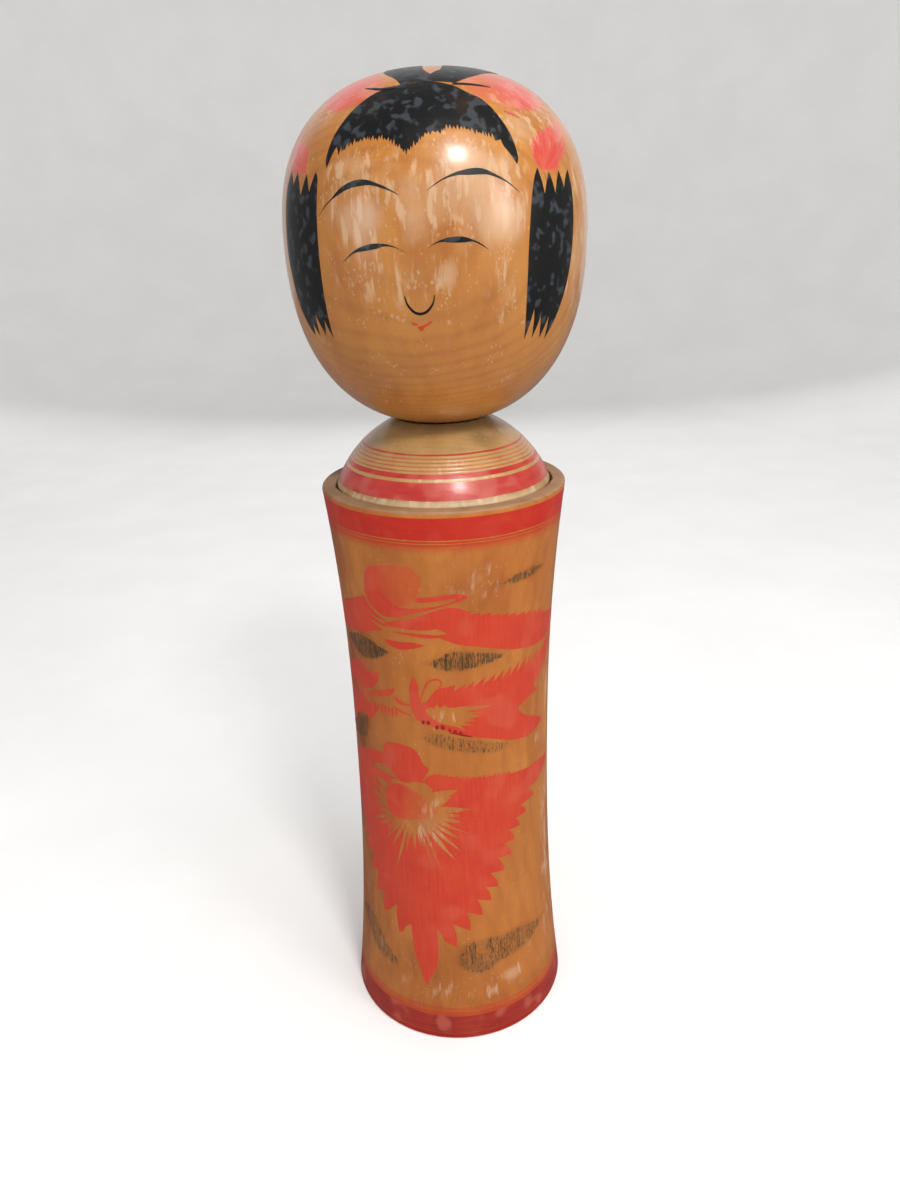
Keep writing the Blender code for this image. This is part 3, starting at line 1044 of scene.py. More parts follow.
shoulder_rows += with_surface([
    (SHOULDER_RADIUS, spigot_end + EDGE_BREAK), (SHOULDER_RADIUS - EDGE_BREAK, spigot_end), (0, spigot_end),
], PLUG, 48)
dome_woods = ["dome_wood", "raw_wood"]
shoulder_skin = turned_skin("shoulder_turned", shoulder_rows, DOME, dome_woods)
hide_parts("shoulder")

# Head, neck and bulb
SKULL, NECK = 0, 1
head_rows = []
for v in between(0, HEAD_LENGTH, 130):
    radius, z = head_section(v)
    head_rows.append((radius, z, SKULL, v))
land_z = head_rows[-1][1]
neck_end = land_z - NECK_LENGTH
bulb_rows = swelling(NECK_RADIUS, neck_end - BULB_LENGTH / 2, BULB_LENGTH / 2)
head_rows += with_surface([(NECK_RADIUS, land_z), (NECK_RADIUS, neck_end)], NECK, 196)
head_rows += with_surface(bulb_rows, NECK, 196)
head_rows += with_surface([(NECK_RADIUS, neck_end - BULB_LENGTH), (0, neck_end - BULB_LENGTH)], NECK, 196)
head_skin = turned_skin("head_turned", head_rows, HEAD, ["head_wood", "raw_wood"])
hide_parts("head")

# ---------------------------------------------------------------- lathe bands

turned_band("rim_band", TRUNK, 274.6, 286.1, "band", 1, wobble=0.14)
turned_band("rim_line_1", TRUNK, 273.2, 274.1, "band", 2, load=0.85, wobble=0.08)
turned_band("rim_line_2", TRUNK, 271.7, 272.8, "band", 3, load=0.75, wobble=0.08)
turned_band("rim_fade", TRUNK, 268.4, 271.6, "band", 4, load=0.55, fade=0.95)
turned_band("dome_line_1", DOME, 35.35, 36.0, "dome_band", 5, wobble=0.1)
FINE_LINE = 0.32
for index, start in enumerate((36.95, 38.25, 39.45, 40.65)):
    name = "dome_line_%d" % (index + 2)
    turned_band(name, DOME, start, start + FINE_LINE, "dome_band", 6 + index, load=0.7)
turned_band("dome_band_narrow", DOME, 41.6, 42.9, "dome_band", 11, wobble=0.1)
turned_band("dome_band_broad", DOME, 43.75, 47.5, "dome_band", 12, wobble=0.1)
turned_band("foot_tint", TRUNK, 16.9, 19.4, "band", 13, load=0.40)
turned_band("foot_line_1", TRUNK, 15.6, 16.5, "band", 14, load=0.75, wobble=0.08)
turned_band("foot_line_2", TRUNK, 14.4, 15.3, "band", 15, load=0.80, wobble=0.08)
turned_band("foot_band", TRUNK, 3.6, 14.1, "foot_band", 16)
turned_band("foot_strip", TRUNK, 0.9, 3.4, "foot_strip", 17)


# ---------------------------------------------------------------- painted shapes

def corners(*points):
    """Straight stretches between points."""
    return [[point] for point in points]


def stroke(path, widths):
    """Outline of a brush stroke along a path in (azimuth, v), with its width at each point."""
    left, right = [], []
    degrees = 1 / math.radians(1) / HEAD.reference
    for index, (azimuth, v) in enumerate(path):
        before = path[max(index - 1, 0)]
        after = path[min(index + 1, len(path) - 1)]
        run = Vector(((after[0] - before[0]) / degrees, after[1] - before[1])).normalized()
        side = Vector((-run.y * degrees, run.x)) * widths[index] / 2
        left.append((azimuth + side.x, v + side.y))
        right.append((azimuth - side.x, v - side.y))
    return [left, [right[-1]], right[::-1][1:]]


def inked(name, *outlines, surface=HEAD, lift=1, **settings):
    """Black ink on the head."""
    painted(name, surface, outlines, "ink", "black_ink", lift=lift, **settings)


def dyed(name, *outlines, material="flower", **settings):
    """Red dye on the trunk."""
    painted(name, TRUNK, outlines, material, "red_dye", **settings)


FRINGE_TEETH = (
    (-35.2, 70.8), (-32.7, 69.2), (-29.7, 67.8), (-27.3, 67.2), (-24.3, 66.2), (-22.6, 66.8),
    (-19.8, 67.0), (-17.7, 66.5), (-15.2, 67.8), (-13, 69.0), (-11, 70.0), (-9, 72.5), (-7, 70.2),
    (-5, 68.4), (-3.2, 66.6), (-0.7, 65.4), (3, 65.2), (4.7, 64.2), (7.3, 63.7), (10, 63.7), (12.5, 64.0),
    (15.5, 65.5), (18, 66.0), (20, 66.5), (22.7, 68.2),
)


def fringe_hem():
    """Teeth of the fringe, with a notch between each two."""
    hem = []
    chance = random.Random(11)
    for tooth, after in zip(FRINGE_TEETH, FRINGE_TEETH[1:]):
        wide = after[0] - tooth[0]
        level = (tooth[1] + after[1]) / 2
        hem.append((tooth[0], tooth[1] + chance.uniform(-0.2, 0.5)))
        hem.append((tooth[0] + wide * chance.uniform(0.20, 0.30), level - chance.uniform(0.9, 2.2)))
        hem.append((tooth[0] + wide * chance.uniform(0.45, 0.58), level - chance.uniform(-0.3, 0.6)))
        hem.append((tooth[0] + wide * chance.uniform(0.70, 0.80), level - chance.uniform(0.9, 2.2)))
    return hem + [FRINGE_TEETH[-1]]


inked("fringe", [
    [(-15, 42.0), (-25, 45), (-30, 48.5), (-34, 53), (-36.5, 57), (-38.5, 61), (-40, 65), (-41, 72),
     (-40, 75.2)],
    [(-39.2, 73), (-38, 70), (-36.8, 67.8)],
] + corners(*fringe_hem(), (25, 67.6)) + [
    [(25.5, 69.7), (27.5, 72.5), (29.8, 76.3)],
    [(30.6, 73), (29.3, 65), (26, 57), (23.5, 53), (20.5, 50), (17, 48), (11, 43.5)],
    [(0, 40.8), (-15, 42)],
], brush=(-4, 30))

inked("forelock", [
    [(-11.1, -40.4), (-12.8, -35.2), (-16, -27.7), (-17.4, -20.7), (-16.1, -13.5), (-16.8, -4),
     (-18.5, 3)],
    [(-14.2, -3)], [(-13.2, 6.5)], [(-10.2, -2)], [(-8, 8)], [(-6.2, -1)], [(-3.6, 6)],
    [(-3.4, -6), (-2.7, -16.8), (-2.9, -23.8), (-2.1, -29.9), (0, -34.5)],
    [(2.2, -30.9), (3.9, -27.7), (4.7, -17.4), (5.6, -6), (7.2, 5)], [(9.4, -2)], [(12.2, 7.5)],
    [(15, -2.5)], [(19, 6)], [(20.6, -4)], [(26.5, 1)],
    [(26.2, -7), (25.6, -13.6), (21.9, -21.9), (16.3, -32.1), (9.3, -40.8)],
], surface=CROWN_TOP, lift=2, brush=(0, -44))

strand_left = stroke(
    [(-35.5, 42.3), (-30, 43.2), (-25, 44.0), (-18, 43.4), (-13, 42.2)], [0.3, 1.1, 1.3, 1.3, 1.0],
)
strand_right = stroke(
    [(11, 42.6), (16, 42.7), (22, 43.1), (27, 43.8), (30.5, 44.4)], [1.0, 1.3, 1.2, 0.9, 0.25],
)
inked("side_strand_left", strand_left, lift=3, fill=FINE_FILL)
inked("side_strand_right", strand_right, lift=3, fill=FINE_FILL)

inked("brow_left", [
    [(-42.8, 91.3), (-40, 88), (-37, 85.7), (-34, 83), (-31, 81.2), (-28, 80.1), (-25, 79.8),
     (-22, 80.2), (-16, 82.6), (-11.2, 85.5)],
    [(-16, 83.4), (-21, 81.9), (-25, 81.9), (-30, 82.8), (-36, 85.6), (-40, 88.4), (-42.8, 91.3)],
], fill=FINE_FILL)
inked("brow_right", [
    [(-2.4, 84.3), (1, 81.7), (4, 80), (7, 78.7), (10, 77.9), (13, 77.4), (16, 77.5), (19, 78.5),
     (25, 81.8), (30.2, 86.1)],
    [(24.5, 82.0), (19, 79.8), (16, 79.5), (12, 79.6), (8, 79.6), (4, 80.6), (1, 82.1), (-2.4, 84.3)],
], fill=FINE_FILL)
inked("eye_left", [
    [(-33.6, 107.6), (-31, 105.2), (-28.5, 103.4), (-26, 102.1), (-23, 101.2), (-20, 100.9),
     (-17, 101.1), (-14, 101.9), (-9.8, 104.2)],
    [(-13.5, 102.4), (-17, 101.9), (-20, 102.7), (-24, 103.3), (-28, 103.9), (-31, 105.6),
     (-33.6, 107.6)],
], fill=FINE_FILL)
inked("eye_right", [
    [(-3.4, 103.3), (0, 101.1), (3, 99.9), (6, 99.4), (9, 99.5), (12, 100.5), (15, 102), (17.8, 104.3)],
    [(14.5, 102.2), (12, 101.2), (9, 101.4), (5, 101.3), (2, 101), (-1, 101.9), (-3.4, 103.3)],
], fill=FINE_FILL)
inked("nose", stroke(
    [(-11.2, 119.0), (-10.7, 121), (-10, 122.7), (-8.2, 124.7), (-6, 125.4), (-3.8, 124.6), (-2, 122.5),
     (-1.3, 120.8), (-1, 118.8)],
    [0.3, 0.5, 0.7, 0.9, 1.0, 0.9, 0.7, 0.5, 0.3],
), fill=FINE_FILL)
mouth_right = stroke([(-6.2, 130.6), (-5, 129.9), (-3.6, 129.2), (-2.2, 128.2)], [1.1, 0.9, 0.8, 0.4])
mouth_left = stroke([(-9.4, 128.5), (-8.5, 129.1), (-7.4, 129.4)], [0.5, 0.7, 0.5])
mouth_low = [[(-7.4, 130.1), (-6.8, 131.4), (-5.6, 131.6), (-5.1, 130.4), (-6.2, 129.9), (-7.4, 130.1)]]
for name, outline, lift in (
    ("mouth_right", mouth_right, 1), ("mouth_left", mouth_left, 1), ("mouth_low", mouth_low, 2),
):
    painted(name, HEAD, [outline], "flower", "red_dye", lift=lift, fill=FINE_FILL)

inked("lock_left", [
    [(-45.6, 76.2)], [(-44.1, 79), (-44, 90), (-44.1, 100), (-44.3, 120), (-44.9, 135.2)],
    [(-46.4, 131), (-47.3, 127.6)], [(-48, 131), (-49.3, 134.4)], [(-51, 130), (-52.4, 126)],
    [(-53.2, 130), (-53.7, 135)], [(-55.2, 132), (-56.3, 129.8)], [(-57.8, 135)],
    [(-60, 132.5), (-64, 125), (-66.6, 113), (-68.3, 106), (-68.7, 100), (-68, 92), (-67, 80),
     (-64.5, 74.3)],
    [(-62.2, 77.5), (-60.5, 80)], [(-59.4, 78), (-58, 75.5)], [(-56, 79), (-54, 84)],
    [(-52.3, 80), (-51, 76.6)], [(-49.8, 79), (-48.5, 83)], [(-46.8, 79), (-45.6, 76.2)],
])
inked("lock_right", [
    [(38.3, 77.3)], [(36.2, 81), (34.3, 88), (33.1, 99), (32.7, 110), (33.2, 124), (34.8, 137.4)],
    [(36.2, 131), (37.2, 125.6)], [(38, 131), (38.7, 137.2)], [(40, 133), (41.1, 128.5)],
    [(42, 133), (43, 137.4)], [(44.6, 133), (45.9, 129.2)], [(46.5, 138.4)],
    [(50.3, 130.5), (54, 119), (56.3, 106), (57.2, 94), (57, 84), (56, 77.6)],
    [(53.4, 80.5), (51.6, 84.2)], [(50.6, 81), (49.5, 78.1)], [(47.6, 81.5), (46, 86)],
    [(45, 82), (43.8, 78.7)], [(42, 82), (40.5, 86.2)], [(39.4, 81), (38.3, 77.3)],
])


def fan(name, apex, core, tips, depth, surface=CROWN_TOP):
    """Brush strokes that spread from one point: a tip for each, with a notch between neighbours.

    The dye is fullest around core and thins out away from it.
    """
    near = Vector(apex)
    outline = [[apex], [tips[0]]]
    for tip, after in zip(tips, tips[1:]):
        notch = near.lerp((Vector(tip) + Vector(after)) / 2, depth)
        outline += [[tuple(notch)], [after]]

    def fuller_at_core(azimuth, v):
        away = Vector(surface.laid_out(azimuth, v)) - Vector(surface.flat(*core))
        return 0.60 + 0.42 * bump(away.length, 0, 14)

    painted(name, surface, [outline], "ribbon", "red_dye", soft=1.0, load=fuller_at_core, brush=apex)


fan("ribbon_upper_left", (-15.5, -40.5), (-33, -30), [
    (-19.5, -12), (-24, -9), (-29.5, -7.5), (-35, -8), (-40, -10.5), (-43.5, -14.5), (-45.5, -20),
    (-46.2, -26), (-44.5, -31.5), (-42.5, -36), (-39.5, -39.5), (-35, -42), (-28, -44.2),
], 0.88)
fan("ribbon_upper_right", (8.5, -40.8), (36, -33), [
    (17.5, -48.5), (23, -48), (28.5, -47.8), (33.5, -46.8), (38.5, -43.5), (43.5, -38.5), (47.5, -32.5),
    (49.2, -26.5), (48.5, -20), (45, -14.5), (39.5, -11), (33.5, -10.5), (28, -14),
], 0.88)
stray = stroke([(30.3, 56.3), (33, 57.3), (36.8, 59)], [0.4, 0.9, 0.3])
painted("ribbon_stray", HEAD, [stray], "ribbon", "red_dye", lift=3, fill=FINE_FILL)
fan("ribbon_lower_left", (-50, 77.5), (-58, 70), [
    (-54.5, 77.5), (-60, 76.5), (-66, 76), (-72, 73), (-76, 69), (-76, 65), (-72.5, 62), (-67, 60.8),
    (-61, 61.5), (-56.5, 63.5), (-53, 66.5),
], 0.88, surface=HEAD)
fan("ribbon_lower_right", (41, 79), (47, 71), [
    (36.4, 77), (35.4, 73.2), (36, 69), (38.5, 65.8), (43, 63.0), (49, 60.8), (55, 58.4), (61, 56.2),
    (68, 55.5), (73, 60), (69, 65), (63, 68.8), (57, 73), (50.5, 78.4), (46, 79.6),
], 0.90, surface=HEAD)

# Flower 1: an iris head low on the neck of the trunk
MIRROR_AXIS = -19.0


def mirrored(points):
    return [(2 * MIRROR_AXIS - azimuth, v) for azimuth, v in points]


def petal_load(azimuth, v):
    """Saturated along the left edge, thin towards the right."""
    return 0.50 + 0.50 * bump(azimuth, -42, 11)


def serrated(start, end, count, depths):
    """Teeth along a line: each rises slowly to a sharp tip and falls back at once."""
    chance = random.Random(count)
    points = []
    for index in range(count):
        t = (index + chance.uniform(0.75, 1.0)) / count
        depth = depths[0] + (depths[1] - depths[0]) * index / (count - 1)
        azimuth = start[0] + (end[0] - start[0]) * t
        level = start[1] + (end[1] - start[1]) * t
        points.append((azimuth, level + depth * chance.uniform(0.7, 1.1)))
        points.append((azimuth - depth * 0.35, level - depth * 0.25))
    return corners(*points)


dyed("flower_1_petal", [
    [(-44, 246), (-43.8, 250), (-43, 254), (-42, 258), (-38, 260.5), (-33, 262), (-27, 263),
     (-20, 263.5), (-15.5, 262), (-12.5, 259), (-11.5, 255), (-12.5, 251), (-15, 247.2)],
    [(-18, 243.5), (-25, 242.5), (-32, 243), (-44, 246)],
], load=petal_load, soft=0.8, fill=1.1)
dyed("flower_1_stem", [
    [(-44.5, 246.5), (-43, 243), (-40, 240), (-33, 237), (-27, 237.5), (-22, 238.5), (-16, 240.5),
     (-10, 242), (-3, 244), (5, 246), (9, 247.5)],
    [(9.2, 248.4), (6, 249.8), (0, 249.6), (-5, 249), (-10, 248.3), (-15, 248)],
    [(-15, 245.8), (-8, 246.3), (-2, 247), (3, 248)],
    [(4, 247), (0, 245.5), (-8, 243.8), (-15, 242.8), (-22, 242.3)],
    [(-27, 243.4), (-31, 246), (-35, 251), (-37, 257), (-38, 260.4)],
    [(-42, 257), (-43.6, 252), (-44.5, 246.5)],
], lift=1)
dyed("flower_1_right", [
    [(-17, 238), (-12, 240), (-8, 241.5), (0, 243.5), (5, 243.0)],
] + serrated((6, 240.8), (58, 230.4), 10, (1.0, 1.9)) + [
    [(62, 228.4), (72, 226), (79, 223.2), (86, 219.5)],
    [(76, 217.3), (65, 215), (55, 214.6), (45, 215.8), (35, 217.8), (25, 220.5), (15, 223.2), (5, 225.3),
     (-5, 229)],
    [(-12, 228.6), (-20, 229.2), (-30, 230)], [(-20, 230.6), (-10, 230.5)],
    [(-6, 230.3), (-1, 231), (-3, 232.1), (-6, 233.3), (-10, 232.6), (-20, 232.2), (-34, 233)],
    [(-28, 235.5), (-17, 238)],
])
dyed("flower_1_low_petal", [
    [(-35.5, 225.3), (-25, 225.5), (-18, 226), (-12, 225)],
    [(-16, 223.5), (-22, 222), (-26, 221.6), (-31, 222.5), (-35.5, 225.3)],
])
dyed("flower_1_left", [
    [(-122, 221), (-110, 226), (-98, 229.5), (-86, 231.5), (-75, 234), (-60, 238.8), (-50, 242.8),
     (-45, 244.3)],
    [(-42.5, 240.5), (-37, 236.5), (-30, 234.2)], [(-38, 235.2), (-45, 237.5)],
    [(-36, 233.2), (-27, 232.2)], [(-36, 232), (-46, 234)], [(-38, 231)],
    [(-35, 229.5), (-40, 228.3), (-45, 226.5), (-50, 224.5), (-60, 223), (-75, 221)],
    [(-90, 218.6), (-106, 218), (-122, 221)],
])

# Flower 2
dyed("flower_2_right", [
    [(-19, 187.5), (-17, 191), (-15.5, 195.5), (-13, 196.5), (-11, 199), (-8, 202.5), (-5, 204.0),
     (-3, 204.0)],
] + serrated((-2, 202.4), (62, 208.6), 12, (2.6, 5.0)) + [
    [(65, 212.6), (71, 214.8)], [(71.5, 207), (68, 203), (63, 200), (56, 196), (52.7, 194)],
    [(54, 192), (57.5, 190)], [(50, 189.5), (45, 188.2), (39, 186.2)],
    [(41, 184), (44, 181), (48, 179), (54, 176.5), (59, 174), (63.5, 171.2)],
    [(61, 170), (55, 168.7), (50, 168.2), (45, 168.3), (40, 169.2), (30, 171.8), (20, 175.2), (9.5, 178)],
    [(4, 179.5), (-4, 182), (-12, 184.2), (-20, 187)],
], [
    [(-10.5, 194), (-9, 193)], [(-7.5, 195.6)], [(-6, 193.4)], [(-3.5, 195.2)], [(-1, 193.6)],
    [(8, 194), (15, 193.3), (23.5, 192.2)], [(14, 191.6), (8, 191.2)], [(12, 190.4), (17, 189.9)],
    [(11, 189.2)], [(16.8, 187.9)], [(9, 187.2)], [(13.2, 185.9)], [(6.5, 185.7)], [(11.6, 183.4)],
    [(4.5, 184.2)], [(7.2, 181.4)], [(1.5, 183.8), (-6, 185.6), (-12, 189.5), (-13.4, 192), (-10.5, 194)],
], fill=1.7)
DOTS = (
    (-15.2, 185.6, 0.8), (-12.4, 185.6, 0.9), (-7.8, 183.4, 0.9), (-4.6, 183.4, 1.1), (-1.0, 181.9, 0.7),
    (1.8, 181.0, 0.8), (4.6, 180.0, 0.9),
)
DOT_WIDTH = 1.15
DOT_HEIGHT = 1.2
DOT_FILL = 0.9
for index, (azimuth, v, radius) in enumerate(DOTS):
    dot = [
        (azimuth + radius * DOT_WIDTH * math.cos(angle), v + radius * math.sin(angle) * DOT_HEIGHT)
        for angle in between(0, math.tau, 8)
    ]
    dyed("flower_2_dot_%d" % (index + 1), [dot], material="dark_dye", lift=4, fill=DOT_FILL)
dark_line = stroke([(-1, 180.6), (5, 179.2), (11, 177.4)], [0.3, 1.1, 0.3])
dyed("flower_2_dark_line", dark_line, material="dark_dye", lift=3, fill=DOT_FILL)
dyed("flower_2_loop", stroke(
    [(-16.5, 195), (-15.3, 199), (-13.8, 203), (-11.5, 206.5), (-8.6, 208), (-6, 207.9), (-4.7, 206.4),
     (-5.6, 204)],
    [0.7, 0.8, 0.8, 0.9, 0.9, 0.9, 0.8, 0.4],
), lift=1, fill=FINE_FILL)
dyed("flower_2_centre", [
    [(-20, 208.3), (-18.3, 207.3), (-17, 204), (-17, 199), (-16.3, 195), (-17, 191), (-18, 187.6)],
    [(-20.5, 189.5), (-21.5, 193), (-21.9, 201), (-21.3, 205), (-20, 208.3)],
], lift=2)


def washed(azimuth, v):
    """Thin red wash in the middle of the left wing."""
    return 1.0 - 0.6 * bump(v, 191.5, 3.2) * (azimuth > -80)


dyed("flower_2_left", [
    [(-72, 203), (-85, 206.5), (-98, 210.5), (-109, 214)],
    [(-109, 207), (-105, 203), (-98, 198.5), (-91, 194.5)], [(-95, 190)], [(-86, 188.5), (-77, 186.5)],
    [(-82, 180.5), (-92, 176.5), (-101, 171.2)],
    [(-92, 168.6), (-84, 169), (-72, 174), (-62, 178), (-57, 179.8), (-52, 179), (-49, 180.5),
     (-46, 183.5), (-43, 187)],
    [(-46, 188.5), (-50, 188), (-56, 187.2)], [(-50, 190.5), (-44, 193.5)], [(-49, 193.8), (-55, 195.3)],
    [(-49, 196), (-45, 198.5), (-42, 202), (-40.5, 206.6)], [(-46, 205.3)], [(-50, 205.3), (-52, 207.5)],
    [(-58, 207.8), (-65, 206), (-72, 203)],
], load=washed)
dyed(
    "flower_2_small_petals",
    [
        [(-48, 194.7), (-45, 196.2), (-40, 197.7), (-35, 199.2), (-31, 201)],
        [(-31.3, 199), (-34, 196.5), (-38, 195), (-43, 194), (-48, 194.7)],
    ],
    stroke([(-31.5, 196.6), (-29, 194.6), (-25.5, 193.6), (-22, 194)], [0.5, 2.2, 1.6, 1.0]),
    stroke([(-33, 191), (-28, 189.6), (-22, 188.4)], [0.4, 1.5, 0.6]),
    lift=1, load=0.9, fill=FINE_FILL,
)
for index, azimuth in enumerate((-46.4, -43.8, -41.2, -38.6, -36, -33.4, -31)):
    uneven = 0.5 * math.cos(azimuth)
    dash = stroke([(azimuth, 189.8), (azimuth + 0.5, 187.6),
                   (azimuth - 0.4, 185.0 + uneven)], [1.1, 1.5, 0.4])
    dyed("flower_2_dash_%d" % (index + 1), dash, lift=1, fill=FINE_FILL)

# Flower 3: long leaf with a burst of bare rays
RIGHT_TEETH = (
    (47, 138.2), (53.5, 132), (40.8, 131.3), (46, 125.7), (37, 125.3), (40.5, 119.8), (32, 120.2),
    (36.2, 113.3), (28.5, 113.5), (33.8, 105.8), (24.5, 106.2), (28.5, 98), (19.5, 98.8), (24.5, 89.5),
)
LOW_TEETH = (
    (16.5, 91.2), (19.7, 82.5), (11, 85), (14.2, 74.8), (5, 78), (7, 66.5), (-3, 71.5), (-1, 57),
    (-8, 60.5), (-12, 67.5),
)
LEFT_LOW_TEETH = (
    (-28.3, 67), (-33, 60.5), (-36, 59.3), (-37.3, 76), (-44, 69), (-48, 67), (-47.3, 80), (-54.5, 75.8),
    (-53.5, 89.5), (-61, 86.3),
)


def bellied(points, bulge):
    """Runs through notch, tip, notch…, with the side before each tip curved outwards."""
    runs = []
    for index, point in enumerate(points):
        if index % 2 and index:
            before = points[index - 1]
            middle = (
                (before[0] + point[0]) / 2 + bulge * (1 if point[0] > MIRROR_AXIS else -1),
                (before[1] + point[1]) / 2 + 0.2,
            )
            runs.append([middle, point])
        else:
            runs.append([point])
    return runs


def burst(centre, reach, tips):
    """Bare rays: a point for each tip, with valleys near an ellipse between them."""
    def angle_of(tip):
        return math.atan2((tip[1] - centre[1]) / reach[1], (tip[0] - centre[0]) / reach[0])

    chance = random.Random(5)
    tips = sorted(tips, key=angle_of, reverse=True)
    valleys = []
    for tip, after in zip(tips, tips[1:] + tips[:1]):
        angle = angle_of(tip) - (angle_of(tip) - angle_of(after)) % math.tau / 2
        share = chance.uniform(0.92, 1.14)
        valleys.append((
            centre[0] + share * reach[0] * math.cos(angle), centre[1] + share * reach[1] * math.sin(angle),
        ))
    outline = []
    for index, tip in enumerate(tips):
        before, after = Vector(valleys[index - 1]), Vector(valleys[index])
        bulge = (before - after) * 0.14
        outline += [[tuple(before.lerp(Vector(tip), 0.5) + bulge), tip]]
        outline += [[tuple(after.lerp(Vector(tip), 0.5) - bulge), tuple(after)]]
    return outline


RAY_TIPS = (
    (-16, 152.6), (2.5, 149.8), (-1.5, 145.6), (9, 138.2), (2.5, 135.0), (4.6, 130.8), (-1, 128.6),
    (9, 124), (2.4, 121.8), (3.4, 114.2), (0.4, 108.6), (-5.6, 98.2), (-10.4, 108.6), (-12.8, 104.2),
    (-17.4, 113.4), (-20.4, 117.6), (-23.6, 112.6), (-27, 117), (-29.4, 109.4), (-36.8, 98.2),
    (-38.8, 111.4), (-44.5, 112.6), (-42.8, 118.6), (-49.2, 119.4), (-56.5, 120.2), (-50, 127.4),
    (-52.6, 131.8), (-59, 136.4), (-49, 140.2), (-61, 143), (-50.5, 147.6), (-36, 150.8),
)
BURST_CENTRE = (-24, 137.5)
BURST_REACH = (18, 12)

leaf_runs = [
    [(-17, 153.6), (-13.5, 156.8), (-10, 158.0)],
] + serrated((-9, 157.6), (34, 152.6), 14, (0.8, 1.5)) + [
    [(40, 151.3), (48, 150.3), (55, 149.8), (62, 148.9), (70, 147.4), (76, 145)],
    [(70, 142.4), (65, 140.7), (58, 138.6), (52, 138.2)],
] + bellied(RIGHT_TEETH, 1.0) + bellied(LOW_TEETH, 0.8) + [
    [(-11.8, 58), (-12.2, 47), (-14, 41), (-17, 35), (-18.8, 31.8)],
    [(-20.5, 36), (-23, 43), (-25.5, 50), (-26.8, 58), (-27.6, 66)],
] + bellied(LEFT_LOW_TEETH, 0.8) + bellied(mirrored(RIGHT_TEETH)[::-1][1:], 1.0) + [
    [(-90, 138.2), (-103, 140.7), (-108, 142.4), (-114, 145)],
    [(-102, 148.4), (-90, 150.2), (-80, 152.5), (-72, 154), (-65, 157), (-57, 160), (-50, 162),
     (-42, 163)],
    [(-38, 160.5), (-37.5, 156.3)], [(-45, 156.3), (-56, 152.4)], [(-46, 152.2), (-35, 152.0)],
    [(-30, 150.8), (-24, 151.8), (-17, 153.6)],
]
dyed("flower_3_leaf", leaf_runs, burst(BURST_CENTRE, BURST_REACH, RAY_TIPS), fill=1.9)
dyed("flower_3_petal", [
    [(-42, 166), (-40, 169.5), (-35, 171), (-28, 171.5), (-22, 170.5), (-18.5, 167.5), (-16.5, 163),
     (-13, 160.6)],
    [(-14.5, 158), (-17.5, 154), (-22, 152.2), (-27, 151), (-30, 150.8), (-33, 152.2), (-37.5, 156.5),
     (-40, 161), (-42, 166)],
], lift=1)


def disc_load(azimuth, v):
    """Full in the disc, drawn out thin to its right."""
    return 1.0 - 0.78 * min(1.0, max(0.0, (azimuth + 33) / 20))


dyed("flower_3_disc", [
    [(-43.5, 139), (-42, 133), (-38, 128.5), (-30, 128.6), (-22, 130.6), (-14, 132), (-9.5, 136),
     (-11.5, 141), (-18, 146), (-25, 149.2), (-32, 149.8), (-38, 148), (-42, 144), (-43.5, 139)],
], load=disc_load, soft=1.2, fill=1.1)

# Ink, dragged dry over the wood between the flowers: load and outline of each stroke
DRY_STROKES = (
    (0.95, [(20, 251.5), (30, 254.8), (38, 256.2), (45, 257), (52, 256), (61, 253.9), (52, 251.6),
            (45, 250), (38, 249.6), (28, 249.8), (20, 251.5)]),
    (1.0, [(-73, 218), (-62, 222.2), (-55, 224), (-45, 224), (-37, 221.8), (-31, 219.5), (-37, 214.6),
           (-45, 211.5), (-52, 210.5), (-60, 212.4), (-73, 218)]),
    (0.95, [(-14, 215.8), (-5, 221), (0, 223), (8, 223), (15, 221.6), (22, 220.4), (33, 217), (25, 214),
            (15, 212.2), (5, 211.2), (-5, 211.6), (-14, 215.8)]),
    (0.50, [(15.2, 244.8), (18.4, 245.2), (18, 244.1), (15.2, 244.8)]),
    (0.90, [(-82, 166), (-72, 172.5), (-62, 177), (-54.5, 181), (-52.8, 177), (-54.5, 169), (-57, 165.5),
            (-64, 163.2), (-72, 161.8), (-82, 166)]),
    (0.78, [(-19, 177.5), (-10, 181.5), (0, 180), (10, 177.4), (20, 175), (33, 170.4), (29, 166.4),
            (20, 166.2), (10, 168), (0, 170), (-10, 172.4), (-19, 177.5)]),
    (0.85, [(-78, 54), (-68, 60.5), (-58, 60), (-50, 54.2), (-43, 47.6), (-35, 40), (-40, 36.2),
            (-50, 37), (-57, 39.4), (-65, 45.6), (-78, 54)]),
    (0.85, [(-2, 52), (3, 59), (10, 61.4), (20, 61.6), (28, 60.6), (38, 60.4), (48, 58), (55, 56),
            (62.5, 53.6), (53, 49.4), (45, 46), (35, 44), (25, 43), (18, 40), (10, 38.6), (3, 41.5),
            (-3, 47), (-2, 52)]),
    (0.45, [(-25.4, 29), (-23.8, 30.2), (-22.6, 28.8), (-24.2, 27.8), (-25.4, 29)]),
    (0.45, [(-18.6, 29.6), (-16.6, 30), (-15.6, 28.4), (-17.6, 27.8), (-18.6, 29.6)]),
)
for index, (load, outline) in enumerate(DRY_STROKES):
    name = "ink_stroke_%d" % (index + 1)
    painted(name, TRUNK, [[outline]], "dry_ink", "black_ink", lift=2, soft=1.5, load=load, fill=1.4)

# ---------------------------------------------------------------- studio

FLOOR_GAP = 0.0001


